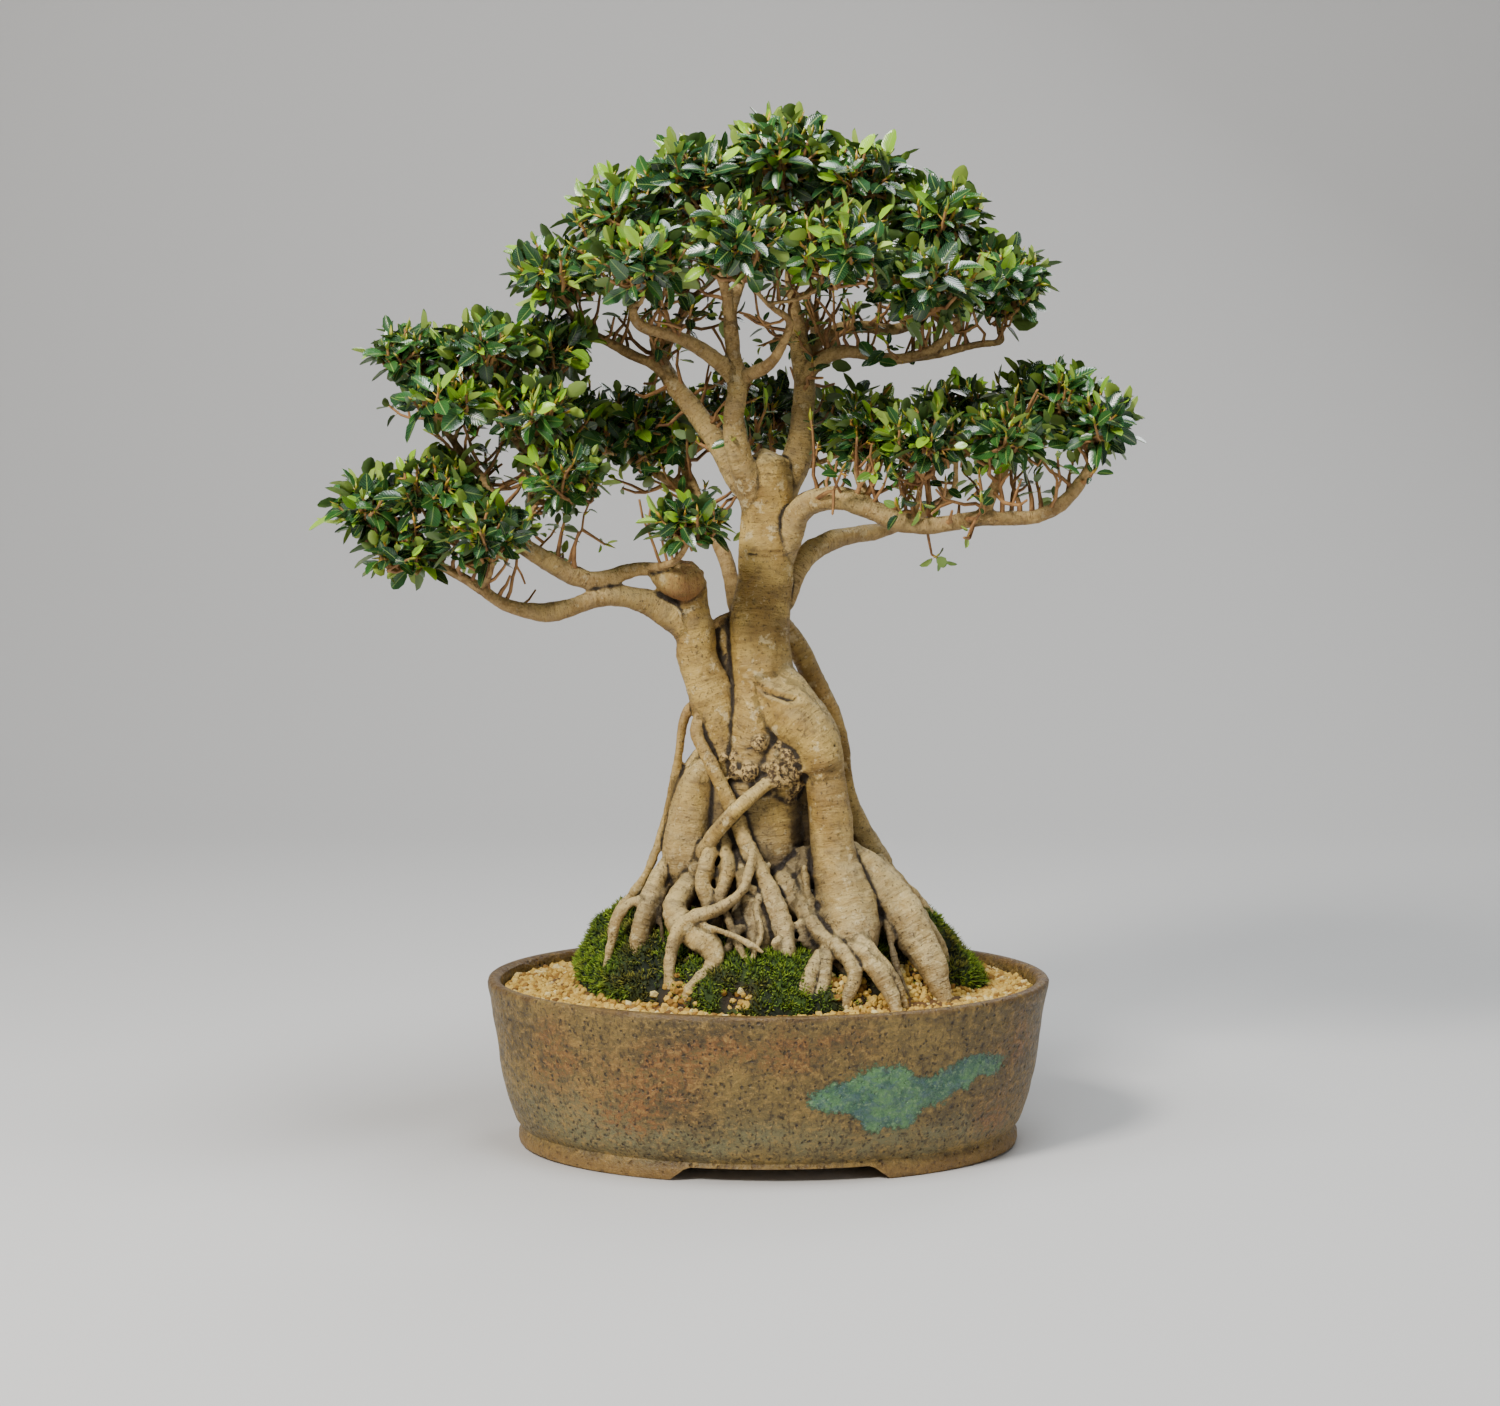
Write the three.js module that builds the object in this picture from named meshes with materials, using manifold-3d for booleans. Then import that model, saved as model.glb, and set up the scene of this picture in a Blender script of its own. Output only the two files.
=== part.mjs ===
// A Port Jackson fig grown as a bonsai over exposed roots, in an oval stoneware pot.
// Millimetres, +Z up, +X to the right and +Y away from the viewer.
// Everything is drawn about the middle of the pot's underside. The whole plant is then moved sideways,
// so that the origin is the middle of its box, at the level that the pot stands on.
import * as THREE from "three";
import { mergeVertices } from "three/addons/utils/BufferGeometryUtils.js";
import Module from "manifold-3d";

const wasm = await Module();
wasm.setup();
const { Manifold, Mesh: SolidMesh } = wasm;

// Clearance between pieces that touch.
const GAP = 0.3;
// Every oval of the pot has a half-depth that is this much less than its half-length.
const OVAL_STEP = 57;
const POT = { height: 114, rimHalf: 190, wall: 10, underside: 9, floorTop: 23 };
// The gap between the two feet, which runs from the front of the pot to its back.
const FOOT_GAP = { middle: 7, halfTop: 60, halfBottom: 75, top: 9.6, below: 2 };
// Each foot is arched a little underneath, so that the pot stands on the four ends of its feet. This is the
// rise at the given distance past the gap, and the inner edge of the foot is a shade higher than its outer one.
const FOOT_ARCH = { rise: 1.2, at: 100, innerEdge: 0.05 };
const DRAIN = { radius: 11, offset: 75 };
// Corners round every oval, the same for the pot and for what lies in it.
const SECTORS = 32;
// The planting surface: its half-length at the pot's wall, its level there, its slope up from there and the
// mound in its middle. The gravel and the moss lie in a bed this deep, and the moss stands above it.
const GROUND = { halfX: 178.1, wallLevel: 108, slope: 3, mound: 38, moundEdge: 0.8 };
const BED_DEPTH = 6;
const GRAIN_HEIGHT = 1.2;
const MOSS = { height: 8, edgeShare: 0.35, bumpHeight: 2.2, bumpSize: 13 };
const ROOT_COVER = 2;
const ROOT_CLEARANCE = 0.5;
const LEAF = { length: 24, width: 13.5, widest: 0.55, thickness: 0.9, fold: 1.4, droop: 2.5 };
// Shoots keep this far inside their clump, and are drawn again this often until they are clear of the rest.
const SPRAY = { radius: 1.9, stem: 6, shoots: 3, leavesPerShoot: 4, inset: 15, clearance: 0.4, tries: 25 };
// A ring is left out of a limb where its neighbours already give its place and radius this closely.
const STRAIGHTNESS = 2.6;

// Each limb is a list of rings on its centre line: x, y, z and radius.
const TRUNKS = {
  root_mass: [[0, 4, 76, 38], [-2, 3, 110, 46], [-6, 0, 158, 39]],
  main_trunk: [
    [-5, 0, 150, 39], [-8, -2, 185, 40], [-11, -2, 224, 37.5], [-11, -4, 251, 32], [-8, -8, 279, 28],
    [-3, -12, 303, 24], [-4, -10, 322, 22], [-5, -8, 343, 20.5], [-4, -6, 363, 19.5], [-2, -5, 383, 18.3],
    [-1, -5, 404, 18], [-1, -4, 426, 17.8], [-2, -4, 446, 17.6], [-3, -4, 462, 15],
  ],
  left_trunk: [
    [-20, -10, 259, 20], [-28, -14, 275, 17], [-33, -16, 289, 15.4], [-38, -16, 304, 14.8], [-43, -16, 318, 14],
    [-48, -15, 334, 13.7], [-50, -14, 349, 13.4], [-52, -13, 364, 12.4], [-54, -14, 378, 13], [-55, -15, 390, 10],
  ],
  right_leg: [
    [-4, -12, 322, 16], [8, -18, 308, 18], [21, -24, 295, 16], [31, -28, 283, 14.3], [36, -31, 269, 13.4],
    [38, -33, 253, 13.3], [40, -35, 235, 13.4], [41, -37, 216, 14.2], [43, -40, 198, 15.4], [47, -44, 182, 18],
    [51, -49, 167, 20.4], [55, -54, 152, 20], [57, -58, 136, 15],
  ],
  back_core: [[5, 34, 140, 32], [0, 30, 180, 30], [-4, 24, 212, 26], [-5, 16, 241, 21], [-4, 8, 267, 16]],
  left_lobe: [
    [-38, -10, 262, 9], [-46, -14, 248, 13.4], [-51, -18, 230, 16], [-54, -20, 210, 16.8],
    [-54, -20, 191, 15.6], [-51, -20, 174, 12],
  ],
  upper_lobe: [[-44, -6, 268, 6], [-48, -10, 254, 10], [-43, -16, 240, 11.4], [-35, -18, 226, 10], [-29, -18, 214, 6.5]],
};

const ROOTS = {
  right_buttress: [
    [52, -30, 205, 9], [65, -32, 190, 13.4], [77, -36, 177, 14.6], [88, -42, 163, 14.4],
    [98, -48, 147, 12.4], [107, -54, 132, 9.6], [113, -58, 118, 7], [117, -60, 106, 5],
  ],
  right_back_root: [
    [10, 12, 352, 6], [20, 14, 336, 7.4], [27, 14, 322, 7.4], [36, 14, 306, 6.1], [44, 14, 290, 5.1],
    [50, 12, 271, 4.5], [53, 10, 249, 4.8], [57, 8, 229, 6.8], [64, 8, 211, 8.8], [71, 6, 196, 9.5], [79, 4, 182, 8.1],
  ],
  aerial_left: [
    [-42, -9, 301, 3.2], [-52, -12, 298, 3.7], [-57, -14, 288, 3.4], [-60, -14, 266, 3.1], [-66, -14, 234, 3.1],
    [-73, -14, 209, 3.1], [-81, -14, 187, 3.5], [-89, -14, 174, 4], [-98, -12, 164, 3.2], [-106, -10, 148, 2.8],
    [-111, -8, 128, 2.6],
  ],
  aerial_cross: [
    [-44, -22, 298, 4], [-48, -29, 284, 4.3], [-42, -33, 271, 4.4], [-34, -37, 255, 4.8], [-27, -40, 240, 5.3],
    [-20, -42, 225, 5.3], [-14, -45, 210, 5.4], [-5, -50, 193, 6], [2, -55, 178, 6.7], [8, -61, 163, 7.2],
    [11, -67, 147, 7], [13, -71, 132, 5.8], [13, -73, 116, 4],
  ],
  crossing_root: [
    [10, -28, 258, 4.6], [-4, -42, 248, 4.6], [-14, -48, 241, 4.9], [-25, -50, 231, 5], [-35, -46, 219, 5.3],
    [-42, -38, 207, 5.3], [-46, -30, 195, 5],
  ],
  pale_root_a: [
    [-36, -38, 214, 4.6], [-41, -47, 198, 5.6], [-43, -50, 185, 5.6], [-40, -54, 172, 5.3], [-38, -57, 158, 4.6],
    [-37, -60, 142, 3.4],
  ],
  looping_root: [
    [-10, -46, 212, 2.6], [-12, -56, 198, 3.3], [-16, -60, 186, 3.6], [-24, -63, 177, 3.9], [-36, -65, 170, 4.3],
    [-48, -65, 166, 4.8], [-58, -66, 158, 5.1], [-63, -68, 146, 4.3], [-65, -70, 133, 4.3], [-64, -72, 119, 4.3],
    [-64, -73, 104, 3.9],
  ],
  left_foot_root: [
    [-46, -28, 188, 8], [-56, -41, 179, 8], [-61, -50, 169, 8.6], [-58, -57, 160, 9.2], [-49, -62, 154, 9.2],
    [-40, -66, 148, 8.4], [-35, -71, 140, 6.4], [-40, -75, 132, 4.8], [-48, -79, 126, 4], [-54, -82, 116, 3.6],
    [-57, -84, 102, 3.2],
  ],
  left_root: [
    [-60, -18, 202, 6], [-71, -25, 189, 6.4], [-77, -32, 178, 6.8], [-81, -38, 164, 7.3], [-85, -42, 149, 7],
    [-87, -45, 134, 5.4], [-88, -47, 116, 3.6],
  ],
  left_arch_root: [
    [-62, -18, 190, 3.3], [-71, -31, 176, 3.7], [-81, -36, 172, 3.7], [-92, -38, 171, 3.7], [-100, -40, 161, 3.4],
    [-104, -42, 147, 3.3], [-108, -43, 126, 2.8],
  ],
  front_pale_root: [[-18, -38, 204, 5.3], [-14, -48, 182, 7.4], [-9, -54, 165, 8.9], [-6, -60, 150, 8], [-4, -64, 132, 5]],
  front_white_root: [[24, -32, 200, 6], [14, -38, 186, 8.6], [8, -42, 172, 8], [6, -47, 158, 5.4], [5, -52, 142, 3]],
  front_root_b: [
    [24, -30, 206, 4.8], [22, -42, 189, 5.6], [22, -48, 176, 5.9], [26, -56, 164, 6.3], [35, -64, 153, 6.6],
    [45, -70, 146, 6.4], [53, -76, 138, 5.9], [55, -81, 127, 5.4], [51, -85, 116, 4.7], [47, -88, 102, 3.8],
  ],
  front_root_c: [
    [30, -52, 168, 4.6], [42, -62, 162, 4.9], [54, -68, 156, 4.9], [65, -73, 148, 4.2], [75, -76, 138, 3.6],
    [84, -78, 125, 3], [90, -80, 108, 2.5],
  ],
  front_root_d: [
    [42, -56, 160, 5.8], [53, -68, 150, 6.2], [63, -75, 142, 6.2], [73, -81, 130, 5.8], [80, -85, 117, 5],
    [86, -88, 102, 4],
  ],
  front_root_e: [[38, -60, 156, 5.2], [37, -74, 140, 5.3], [35, -82, 126, 5.2], [31, -87, 113, 4.5], [29, -90, 100, 3.8]],
  front_root_f: [[33, -72, 144, 3.4], [27, -82, 130, 5.6], [22, -88, 118, 6], [18, -91, 103, 5]],
  right_thin_root_b: [
    [77, 4, 193, 4.2], [89, 4, 178, 4.1], [101, 6, 166, 3.8], [111, 8, 154, 3.4], [120, 10, 140, 2.9], [126, 11, 122, 2.4],
  ],
  right_side_root: [[72, -6, 194, 6], [89, -10, 174, 6.1], [102, -14, 157, 5.6], [114, -18, 139, 4.6], [122, -20, 118, 3.4]],
  back_root_a: [[15, 44, 196, 11], [31, 62, 168, 10.5], [48, 78, 142, 8.5], [59, 88, 120, 6.2], [66, 93, 102, 4.4]],
  back_root_b: [[-5, 46, 196, 11.8], [-11, 64, 166, 11], [-18, 80, 139, 8.4], [-24, 90, 119, 5.8], [-27, 95, 102, 4.4]],
  back_root_c: [[-27, 26, 198, 9.6], [-45, 44, 171, 9.7], [-62, 58, 149, 7.7], [-74, 66, 129, 5.6], [-82, 71, 108, 3.8]],
  back_root_d: [[30, 26, 186, 9.6], [57, 42, 160, 9], [80, 52, 142, 7], [97, 59, 125, 5], [108, 63, 106, 3.6]],
  back_root_e: [[-40, 4, 190, 8], [-61, 14, 166, 7.5], [-79, 22, 149, 6.2], [-93, 28, 134, 4.8], [-104, 32, 114, 3.4]],
};

const BRANCHES = {
  stem_front: [
    [-7, -6, 430, 11], [-14, -13, 449, 10], [-19, -18, 463, 8.6], [-22, -20, 476, 8.1], [-23, -21, 489, 7.3],
    [-21, -22, 503, 7.1], [-21, -23, 518, 6.8], [-23, -24, 533, 5.3], [-25, -26, 549, 4.6], [-25, -28, 566, 3.8],
  ],
  stem_right: [
    [4, 4, 432, 12.5], [12, 6, 449, 11], [19, 8, 463, 9.7], [22, 8, 478, 8.8], [23, 8, 493, 8.3],
    [24, 8, 509, 8], [23, 6, 525, 7.3], [20, 4, 541, 6],
  ],
  stem_left: [
    [-10, 2, 436, 9], [-22, 8, 452, 8.4], [-30, 12, 465, 8], [-36, 16, 476, 7.7], [-45, 20, 489, 7.5],
    [-54, 24, 501, 7], [-63, 27, 512, 6.4], [-69, 29, 522, 5.7], [-73, 30, 532, 4.8], [-77, 31, 544, 4],
  ],
  back_left_stem: [
    [-14, 4, 350, 6.4], [-22, 15, 363, 5.8], [-24, 20, 376, 5.6], [-27, 25, 389, 5.4], [-32, 31, 402, 5.4],
    [-39, 41, 416, 5.1], [-47, 53, 431, 4.8], [-54, 64, 447, 4.2], [-60, 73, 461, 3.6],
  ],
  bridge_root: [[-46, -12, 343, 3], [-36, -8, 353, 3], [-30, -4, 357, 3], [-18, 2, 361, 3]],
  branch_left_low: [
    [-50, -14, 346, 10], [-63, -18, 359, 10], [-77, -22, 368, 9.3], [-89, -26, 372, 8.3], [-102, -30, 374, 7.2],
    [-115, -33, 372, 6.3], [-130, -36, 367, 6.2], [-145, -38, 364, 6.2], [-157, -40, 365, 5.5], [-169, -41, 368, 4.7],
    [-179, -42, 373, 4], [-189, -42, 380, 3.8], [-202, -42, 388, 3.6], [-216, -42, 396, 3.2], [-230, -42, 405, 2.7],
  ],
  branch_left_high: [
    [-52, -18, 382, 6.2], [-68, -24, 390, 5.4], [-81, -26, 392, 5], [-93, -28, 390, 5.5], [-105, -30, 386, 5.9],
    [-117, -32, 385, 6.2], [-129, -34, 388, 6.6], [-141, -36, 395, 6.8], [-152, -38, 402, 6.2], [-163, -40, 409, 5.6],
    [-171, -42, 417, 4.9], [-177, -42, 427, 4.3], [-180, -42, 439, 3.7], [-186, -40, 451, 3.3], [-196, -38, 463, 3],
    [-206, -36, 476, 2.6],
  ],
  branch_right_front: [
    [8, -6, 397, 9.6], [14, -14, 414, 8.8], [19, -21, 427, 8], [27, -26, 435, 7.6], [38, -30, 438, 7.5],
    [49, -33, 438, 7.9], [60, -36, 434, 7.9], [70, -38, 430, 7.2], [80, -40, 425, 6.5], [92, -42, 422, 6.2],
    [105, -43, 421, 5.9], [119, -44, 423, 5.5], [138, -44, 426, 5.2], [156, -44, 426, 4.9], [174, -44, 427, 4.9],
    [188, -42, 433, 4.9], [198, -40, 442, 4.7], [206, -38, 453, 4.1], [211, -36, 463, 3.3],
  ],
  branch_right_back: [
    [11, 0, 366, 6.6], [18, 11, 386, 6.8], [27, 20, 398, 7.3], [38, 28, 405, 7.4], [50, 36, 409, 6.8],
    [64, 44, 411, 6.1], [78, 52, 413, 5.1], [95, 60, 418, 4.4], [112, 66, 427, 3.8], [128, 70, 439, 3.2],
  ],
  crown_left_front: [
    [-20, -21, 512, 6], [-29, -26, 524, 5.9], [-38, -30, 531, 5.5], [-47, -34, 537, 5.1], [-56, -38, 542, 4.8],
    [-68, -42, 546, 4.4], [-79, -46, 549, 4], [-86, -50, 554, 3.5], [-88, -54, 563, 2.9],
  ],
  crown_mid_front: [
    [-20, -21, 515, 5], [-11, -28, 520, 4.6], [-2, -36, 524, 4.2], [5, -44, 531, 3.7], [10, -52, 541, 3.2],
    [13, -60, 553, 2.7],
  ],
  crown_right: [
    [23, 5, 516, 6], [33, -2, 527, 5.3], [44, -8, 533, 5], [56, -12, 534, 4.6], [69, -16, 531, 4.3],
    [83, -20, 529, 3.9], [96, -24, 531, 3.6], [108, -26, 536, 3.3], [118, -28, 545, 3], [126, -30, 556, 2.6],
  ],
  crown_right_low: [[92, -23, 530, 3.3], [111, -22, 532, 3], [125, -20, 536, 2.9], [139, -18, 539, 2.6], [153, -16, 541, 2.4]],
  crown_right_back: [
    [21, 6, 530, 5.5], [35, 20, 543, 5], [50, 30, 550, 4.7], [67, 38, 551, 4.4], [81, 44, 549, 4.1],
    [95, 50, 552, 4], [107, 54, 560, 3.4], [116, 58, 571, 2.8],
  ],
  crown_top: [[21, 4, 532, 5.4], [20, 4, 548, 4.7], [17, 2, 564, 4.2], [14, 0, 580, 3.6], [12, 0, 597, 3]],
  crown_left: [
    [-66, 28, 516, 4.8], [-78, 26, 526, 4.2], [-91, 22, 532, 3.8], [-104, 18, 539, 3.3], [-117, 14, 546, 3],
    [-129, 10, 554, 2.5],
  ],
  crown_back_left: [[-72, 28, 525, 4.2], [-68, 43, 541, 4.1], [-60, 58, 557, 3.6], [-52, 70, 571, 3.1]],
  crown_back: [[24, 12, 510, 5.6], [30, 32, 526, 5.1], [33, 53, 542, 4.7], [32, 71, 558, 4], [27, 86, 573, 3.2]],
  shelf_back: [[0, 6, 400, 8], [5, 29, 415, 7.1], [7, 50, 428, 6.4], [3, 70, 442, 5.4], [-2, 87, 456, 4.2], [-7, 100, 469, 3.2]],
  shelf_left_back: [[-44, 50, 427, 4.4], [-60, 58, 441, 3.8], [-76, 62, 451, 3.4], [-92, 64, 459, 3.1], [-109, 64, 467, 2.7]],
  branch_left_mid: [
    [-163, -41, 405, 4.2], [-158, -39, 422, 3.7], [-154, -36, 438, 3.6], [-155, -34, 454, 3.3], [-161, -32, 470, 3],
    [-171, -30, 484, 2.6],
  ],
  branch_right_up: [[66, -36, 430, 4.2], [62, -28, 444, 3.7], [59, -22, 455, 3.3], [59, -16, 466, 2.7]],
  branch_right_knob: [[139, -44, 424, 4.8], [144, -44, 439, 4.2], [150, -44, 451, 3.9], [155, -42, 464, 3.4], [158, -40, 476, 2.7]],
};

// The leaf clumps: name, middle x, y, z and half-sizes along x, y, z.
const CLUMPS = [
  ["crown_far_left", -139, -14, 586, 30, 46, 26],
  ["crown_left", -98, -24, 622, 31, 56, 29],
  ["crown_left_top", -49, -6, 646, 35, 60, 29],
  ["crown_top", 9, 0, 661, 36, 62, 30],
  ["crown_right_top", 61, -4, 646, 35, 60, 29],
  ["crown_right", 110, -8, 619, 33, 56, 29],
  ["crown_far_right", 155, -8, 581, 30, 46, 29],
  ["crown_front_left", -82, -84, 590, 32, 40, 27],
  ["crown_front", -21, -98, 604, 34, 40, 29],
  ["crown_front_right", 43, -94, 599, 34, 40, 29],
  ["crown_front_far_right", 102, -72, 578, 31, 40, 25],
  ["crown_back_left", -88, 74, 614, 36, 42, 32],
  ["crown_back", -21, 94, 628, 37, 42, 32],
  ["crown_back_right", 50, 96, 624, 37, 42, 32],
  ["crown_back_far_right", 114, 72, 598, 34, 42, 30],
  ["middle_left_tip", -236, -22, 534, 26, 38, 21],
  ["middle_left", -184, -34, 536, 31, 42, 22],
  ["middle_left_root", -141, 10, 539, 28, 40, 23],
  ["middle_left_low", -207, -52, 504, 30, 36, 19],
  ["middle_left_front", -154, -56, 498, 28, 34, 21],
  ["low_left_tip", -260, -34, 434, 26, 38, 24],
  ["low_left", -216, -42, 446, 30, 42, 23],
  ["low_left_hem", -238, -46, 404, 27, 34, 17],
  ["low_left_front", -183, -62, 419, 30, 34, 22],
  ["low_left_inner", -131, -66, 453, 28, 34, 24],
  ["back_left", -88, 76, 481, 41, 42, 32],
  ["back_left_far", -142, 52, 485, 34, 44, 29],
  ["back_middle", -12, 112, 494, 39, 36, 30],
  ["back_right", 57, 92, 484, 35, 40, 29],
  ["right_tip", 214, -30, 490, 25, 40, 26],
  ["right_upper", 186, -8, 506, 30, 44, 24],
  ["right_middle", 156, -50, 480, 30, 36, 23],
  ["right_inner", 104, -52, 477, 30, 34, 25],
  ["right_near", 65, -6, 482, 25, 40, 25],
  ["right_back", 132, 60, 491, 36, 42, 27],
  ["heart", -51, -74, 426, 27, 26, 17],
];

const BARK = { color: 0xb89f66, roughness: 0.75, metalness: 0 };
const FOLIAGE = { color: 0x3f6b34, roughness: 0.35, metalness: 0 };
const STONEWARE = { color: 0x7d6a42, roughness: 0.6, metalness: 0 };
const EARTH = { color: 0x4a3826, roughness: 0.95, metalness: 0 };
const GRAVEL = { color: 0xdcb676, roughness: 0.9, metalness: 0 };
const MOSS_GREEN = { color: 0x4d6a1c, roughness: 0.95, metalness: 0 };

// A small repeatable random source: each call gives the next number from 0 to 1.
function seeded(seed) {
  let state = seed >>> 0;
  return () => {
    state = (Math.imul(state, 1664525) + 1013904223) >>> 0;
    return state / 4294967296;
  };
}

// A closed geometry as a solid, turned to face outwards.
function solidOf(geometry) {
  const bare = new THREE.BufferGeometry();
  bare.setAttribute("position", geometry.getAttribute("position"));
  bare.setIndex(geometry.index);
  const merged = mergeVertices(bare, 1e-3);
  const corners = [...merged.index.array];
  const triangles = [];
  for (let i = 0; i < corners.length; i += 3) {
    const [a, b, c] = corners.slice(i, i + 3);
    if (a !== b && b !== c && a !== c) triangles.push(a, b, c);
  }
  const vertProperties = merged.attributes.position.array;
  const made = new Manifold(new SolidMesh({ numProp: 3, vertProperties, triVerts: new Uint32Array(triangles) }));
  if (made.volume() > 0) return made;
  return new Manifold(new SolidMesh({ numProp: 3, vertProperties, triVerts: new Uint32Array(triangles.reverse()) }));
}

function geometryOf(points, triangles) {
  const geometry = new THREE.BufferGeometry();
  geometry.setAttribute("position", new THREE.BufferAttribute(new Float32Array(points.flatMap((p) => p.toArray())), 3));
  geometry.setIndex(triangles);
  return geometry;
}

function meshOf(name, solid, look) {
  const { vertProperties, triVerts, numProp, numVert } = solid.getMesh();
  const points = [];
  for (let i = 0; i < numVert; i++) points.push(new THREE.Vector3(...vertProperties.slice(i * numProp, i * numProp + 3)));
  const mesh = new THREE.Mesh(geometryOf(points, [...triVerts]), new THREE.MeshStandardMaterial(look));
  mesh.name = name;
  return mesh;
}

function sidesFor(radius) {
  if (radius > 20) return 8;
  if (radius > 12) return 6;
  return radius > 7 ? 5 : 4;
}

// A solid through a list of rings that all have the same number of points.
// Its ends are closed flat, or joined to each other if it is a loop.
function throughRings(rings, loop = false) {
  const count = rings[0].length;
  const triangles = [];
  const bands = loop ? rings.length : rings.length - 1;
  for (let i = 0; i < bands; i++) {
    const [here, there] = [i * count, ((i + 1) % rings.length) * count];
    for (let k = 0; k < count; k++) {
      const next = (k + 1) % count;
      triangles.push(here + k, here + next, there + next, here + k, there + next, there + k);
    }
  }
  const last = (rings.length - 1) * count;
  for (let k = 1; !loop && k < count - 1; k++) {
    triangles.push(0, k + 1, k, last, last + k, last + k + 1);
  }
  return solidOf(geometryOf(rings.flat(), triangles));
}

// How far a ring is from the straight line between two others, its radius counted as a fourth direction.
function offLine(ring, from, to) {
  const span = to.map((v, i) => v - from[i]);
  const length = Math.hypot(...span);
  const t = span.reduce((sum, v, i) => sum + v * (ring[i] - from[i]), 0) / length ** 2;
  return Math.hypot(...ring.map((v, i) => v - from[i] - t * span[i]));
}

function thinned(rings) {
  const [from, to] = [rings[0], rings.at(-1)];
  let [worst, index] = [STRAIGHTNESS, 0];
  for (let i = 1; i < rings.length - 1; i++) {
    const off = offLine(rings[i], from, to);
    if (off > worst) [worst, index] = [off, i];
  }
  if (!index) return [from, to];
  return [...thinned(rings.slice(0, index + 1)), ...thinned(rings.slice(index)).slice(1)];
}

// For each ring of a limb: its middle, the way along it and two directions across it that don't twist.
// Roll turns them all about the limb, counted at its tip.
function framesOf(rings, roll = 0) {
  const middles = rings.map(([x, y, z]) => new THREE.Vector3(x, y, z));
  const last = middles.length - 1;
  const along = (i) => middles[Math.min(i + 1, last)].clone().sub(middles[Math.max(i - 1, 0)]).normalize();
  const side = new THREE.Vector3(0, 1, 0).cross(along(last));
  if (side.length() < 0.3) side.set(1, 0, 0).cross(along(last));
  side.applyAxisAngle(along(last), roll);
  const frames = [];
  for (let i = last; i >= 0; i--) {
    const way = along(i);
    side.addScaledVector(way, -side.dot(way)).normalize();
    frames.unshift({ middle: middles[i], way, side: side.clone(), across: way.clone().cross(side) });
  }
  return frames;
}

function around({ side, across }, turn) {
  return side.clone().multiplyScalar(Math.cos(turn)).addScaledVector(across, Math.sin(turn));
}

// A round limb through its rings. Margin makes it fatter and longer all round.
function limb(rings, sides = sidesFor(Math.max(...rings.map((r) => r[3]))), margin = 0, roll = 0) {
  const frames = framesOf(rings, roll);
  frames[0].middle.addScaledVector(frames[0].way, -margin);
  frames.at(-1).middle.addScaledVector(frames.at(-1).way, margin);
  const turns = Array.from({ length: sides }, (_, k) => (2 * Math.PI * k) / sides);
  return throughRings(frames.map((frame, i) =>
    turns.map((turn) => frame.middle.clone().addScaledVector(around(frame, turn), rings[i][3] + margin)),
  ));
}

// The half-depth of the pot's oval whose half-length is given.
function ovalDepth(halfLength) {
  return halfLength > 2 * OVAL_STEP ? halfLength - OVAL_STEP : halfLength / 2;
}

function ovalRing(halfLength, z) {
  return Array.from({ length: SECTORS }, (_, k) => {
    const turn = (2 * Math.PI * k) / SECTORS;
    return new THREE.Vector3(halfLength * Math.cos(turn), ovalDepth(halfLength) * Math.sin(turn), z);
  });
}

function archedRing(halfLength, z) {
  return ovalRing(halfLength, z).map((point) => {
    const past = Math.max(0, Math.abs(point.x - FOOT_GAP.middle) - FOOT_GAP.halfBottom);
    return point.setZ(z + FOOT_ARCH.rise * (past / FOOT_ARCH.at) ** 2);
  });
}

function makePot() {
  const { height, rimHalf, wall, underside, floorTop } = POT;
  const sides = [
    [170, 8.5], [167.8, 12], [171, 17], [176, 30], [180, 43], [184, 70], [rimHalf, height - 2.5],
    [rimHalf - 1.5, height], [rimHalf - wall + 1, height], [174, 70], [162, floorTop],
  ];
  const feet = [ovalRing(148, underside), archedRing(150, FOOT_ARCH.innerEdge), archedRing(169.5, 0)];
  const shell = throughRings([...feet, ...sides.map(([r, z]) => ovalRing(r, z))]);
  const { middle, halfTop, halfBottom, top, below } = FOOT_GAP;
  const corner = (x, z) => new THREE.Vector2(middle + x, z);
  const outline = new THREE.Shape([
    corner(-halfBottom, -below), corner(halfBottom, -below), corner(halfTop, top), corner(-halfTop, top),
  ]);
  const gap = new THREE.ExtrudeGeometry(outline, { depth: 2 * rimHalf, bevelEnabled: false });
  gap.rotateX(Math.PI / 2).translate(0, rimHalf, 0);
  const drain = (x) => {
    const hole = new THREE.CylinderGeometry(DRAIN.radius, DRAIN.radius, 2 * floorTop, 12);
    return solidOf(hole.rotateX(Math.PI / 2).translate(x, 0, floorTop / 2));
  };
  return shell.subtract(solidOf(gap)).subtract(drain(-DRAIN.offset)).subtract(drain(DRAIN.offset));
}

// Where the moss stops and the gravel begins, as a share of the way to the pot's wall.
function mossEdge(turn) {
  return 0.775 + 0.045 * Math.sin(3 * turn + 0.6) + 0.03 * Math.sin(5 * turn + 2.1);
}

function groundLevel(out) {
  const inner = Math.max(0, 1 - (out / GROUND.moundEdge) ** 2);
  return GROUND.wallLevel + GROUND.slope * (1 - out) + GROUND.mound * inner ** 0.85;
}

function bumps(x, y, size) {
  return Math.sin(x / size + 1.3) * Math.sin(y / size - 0.4) + 0.6 * Math.sin(x / size / 0.61 + y / size / 0.83);
}

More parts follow.
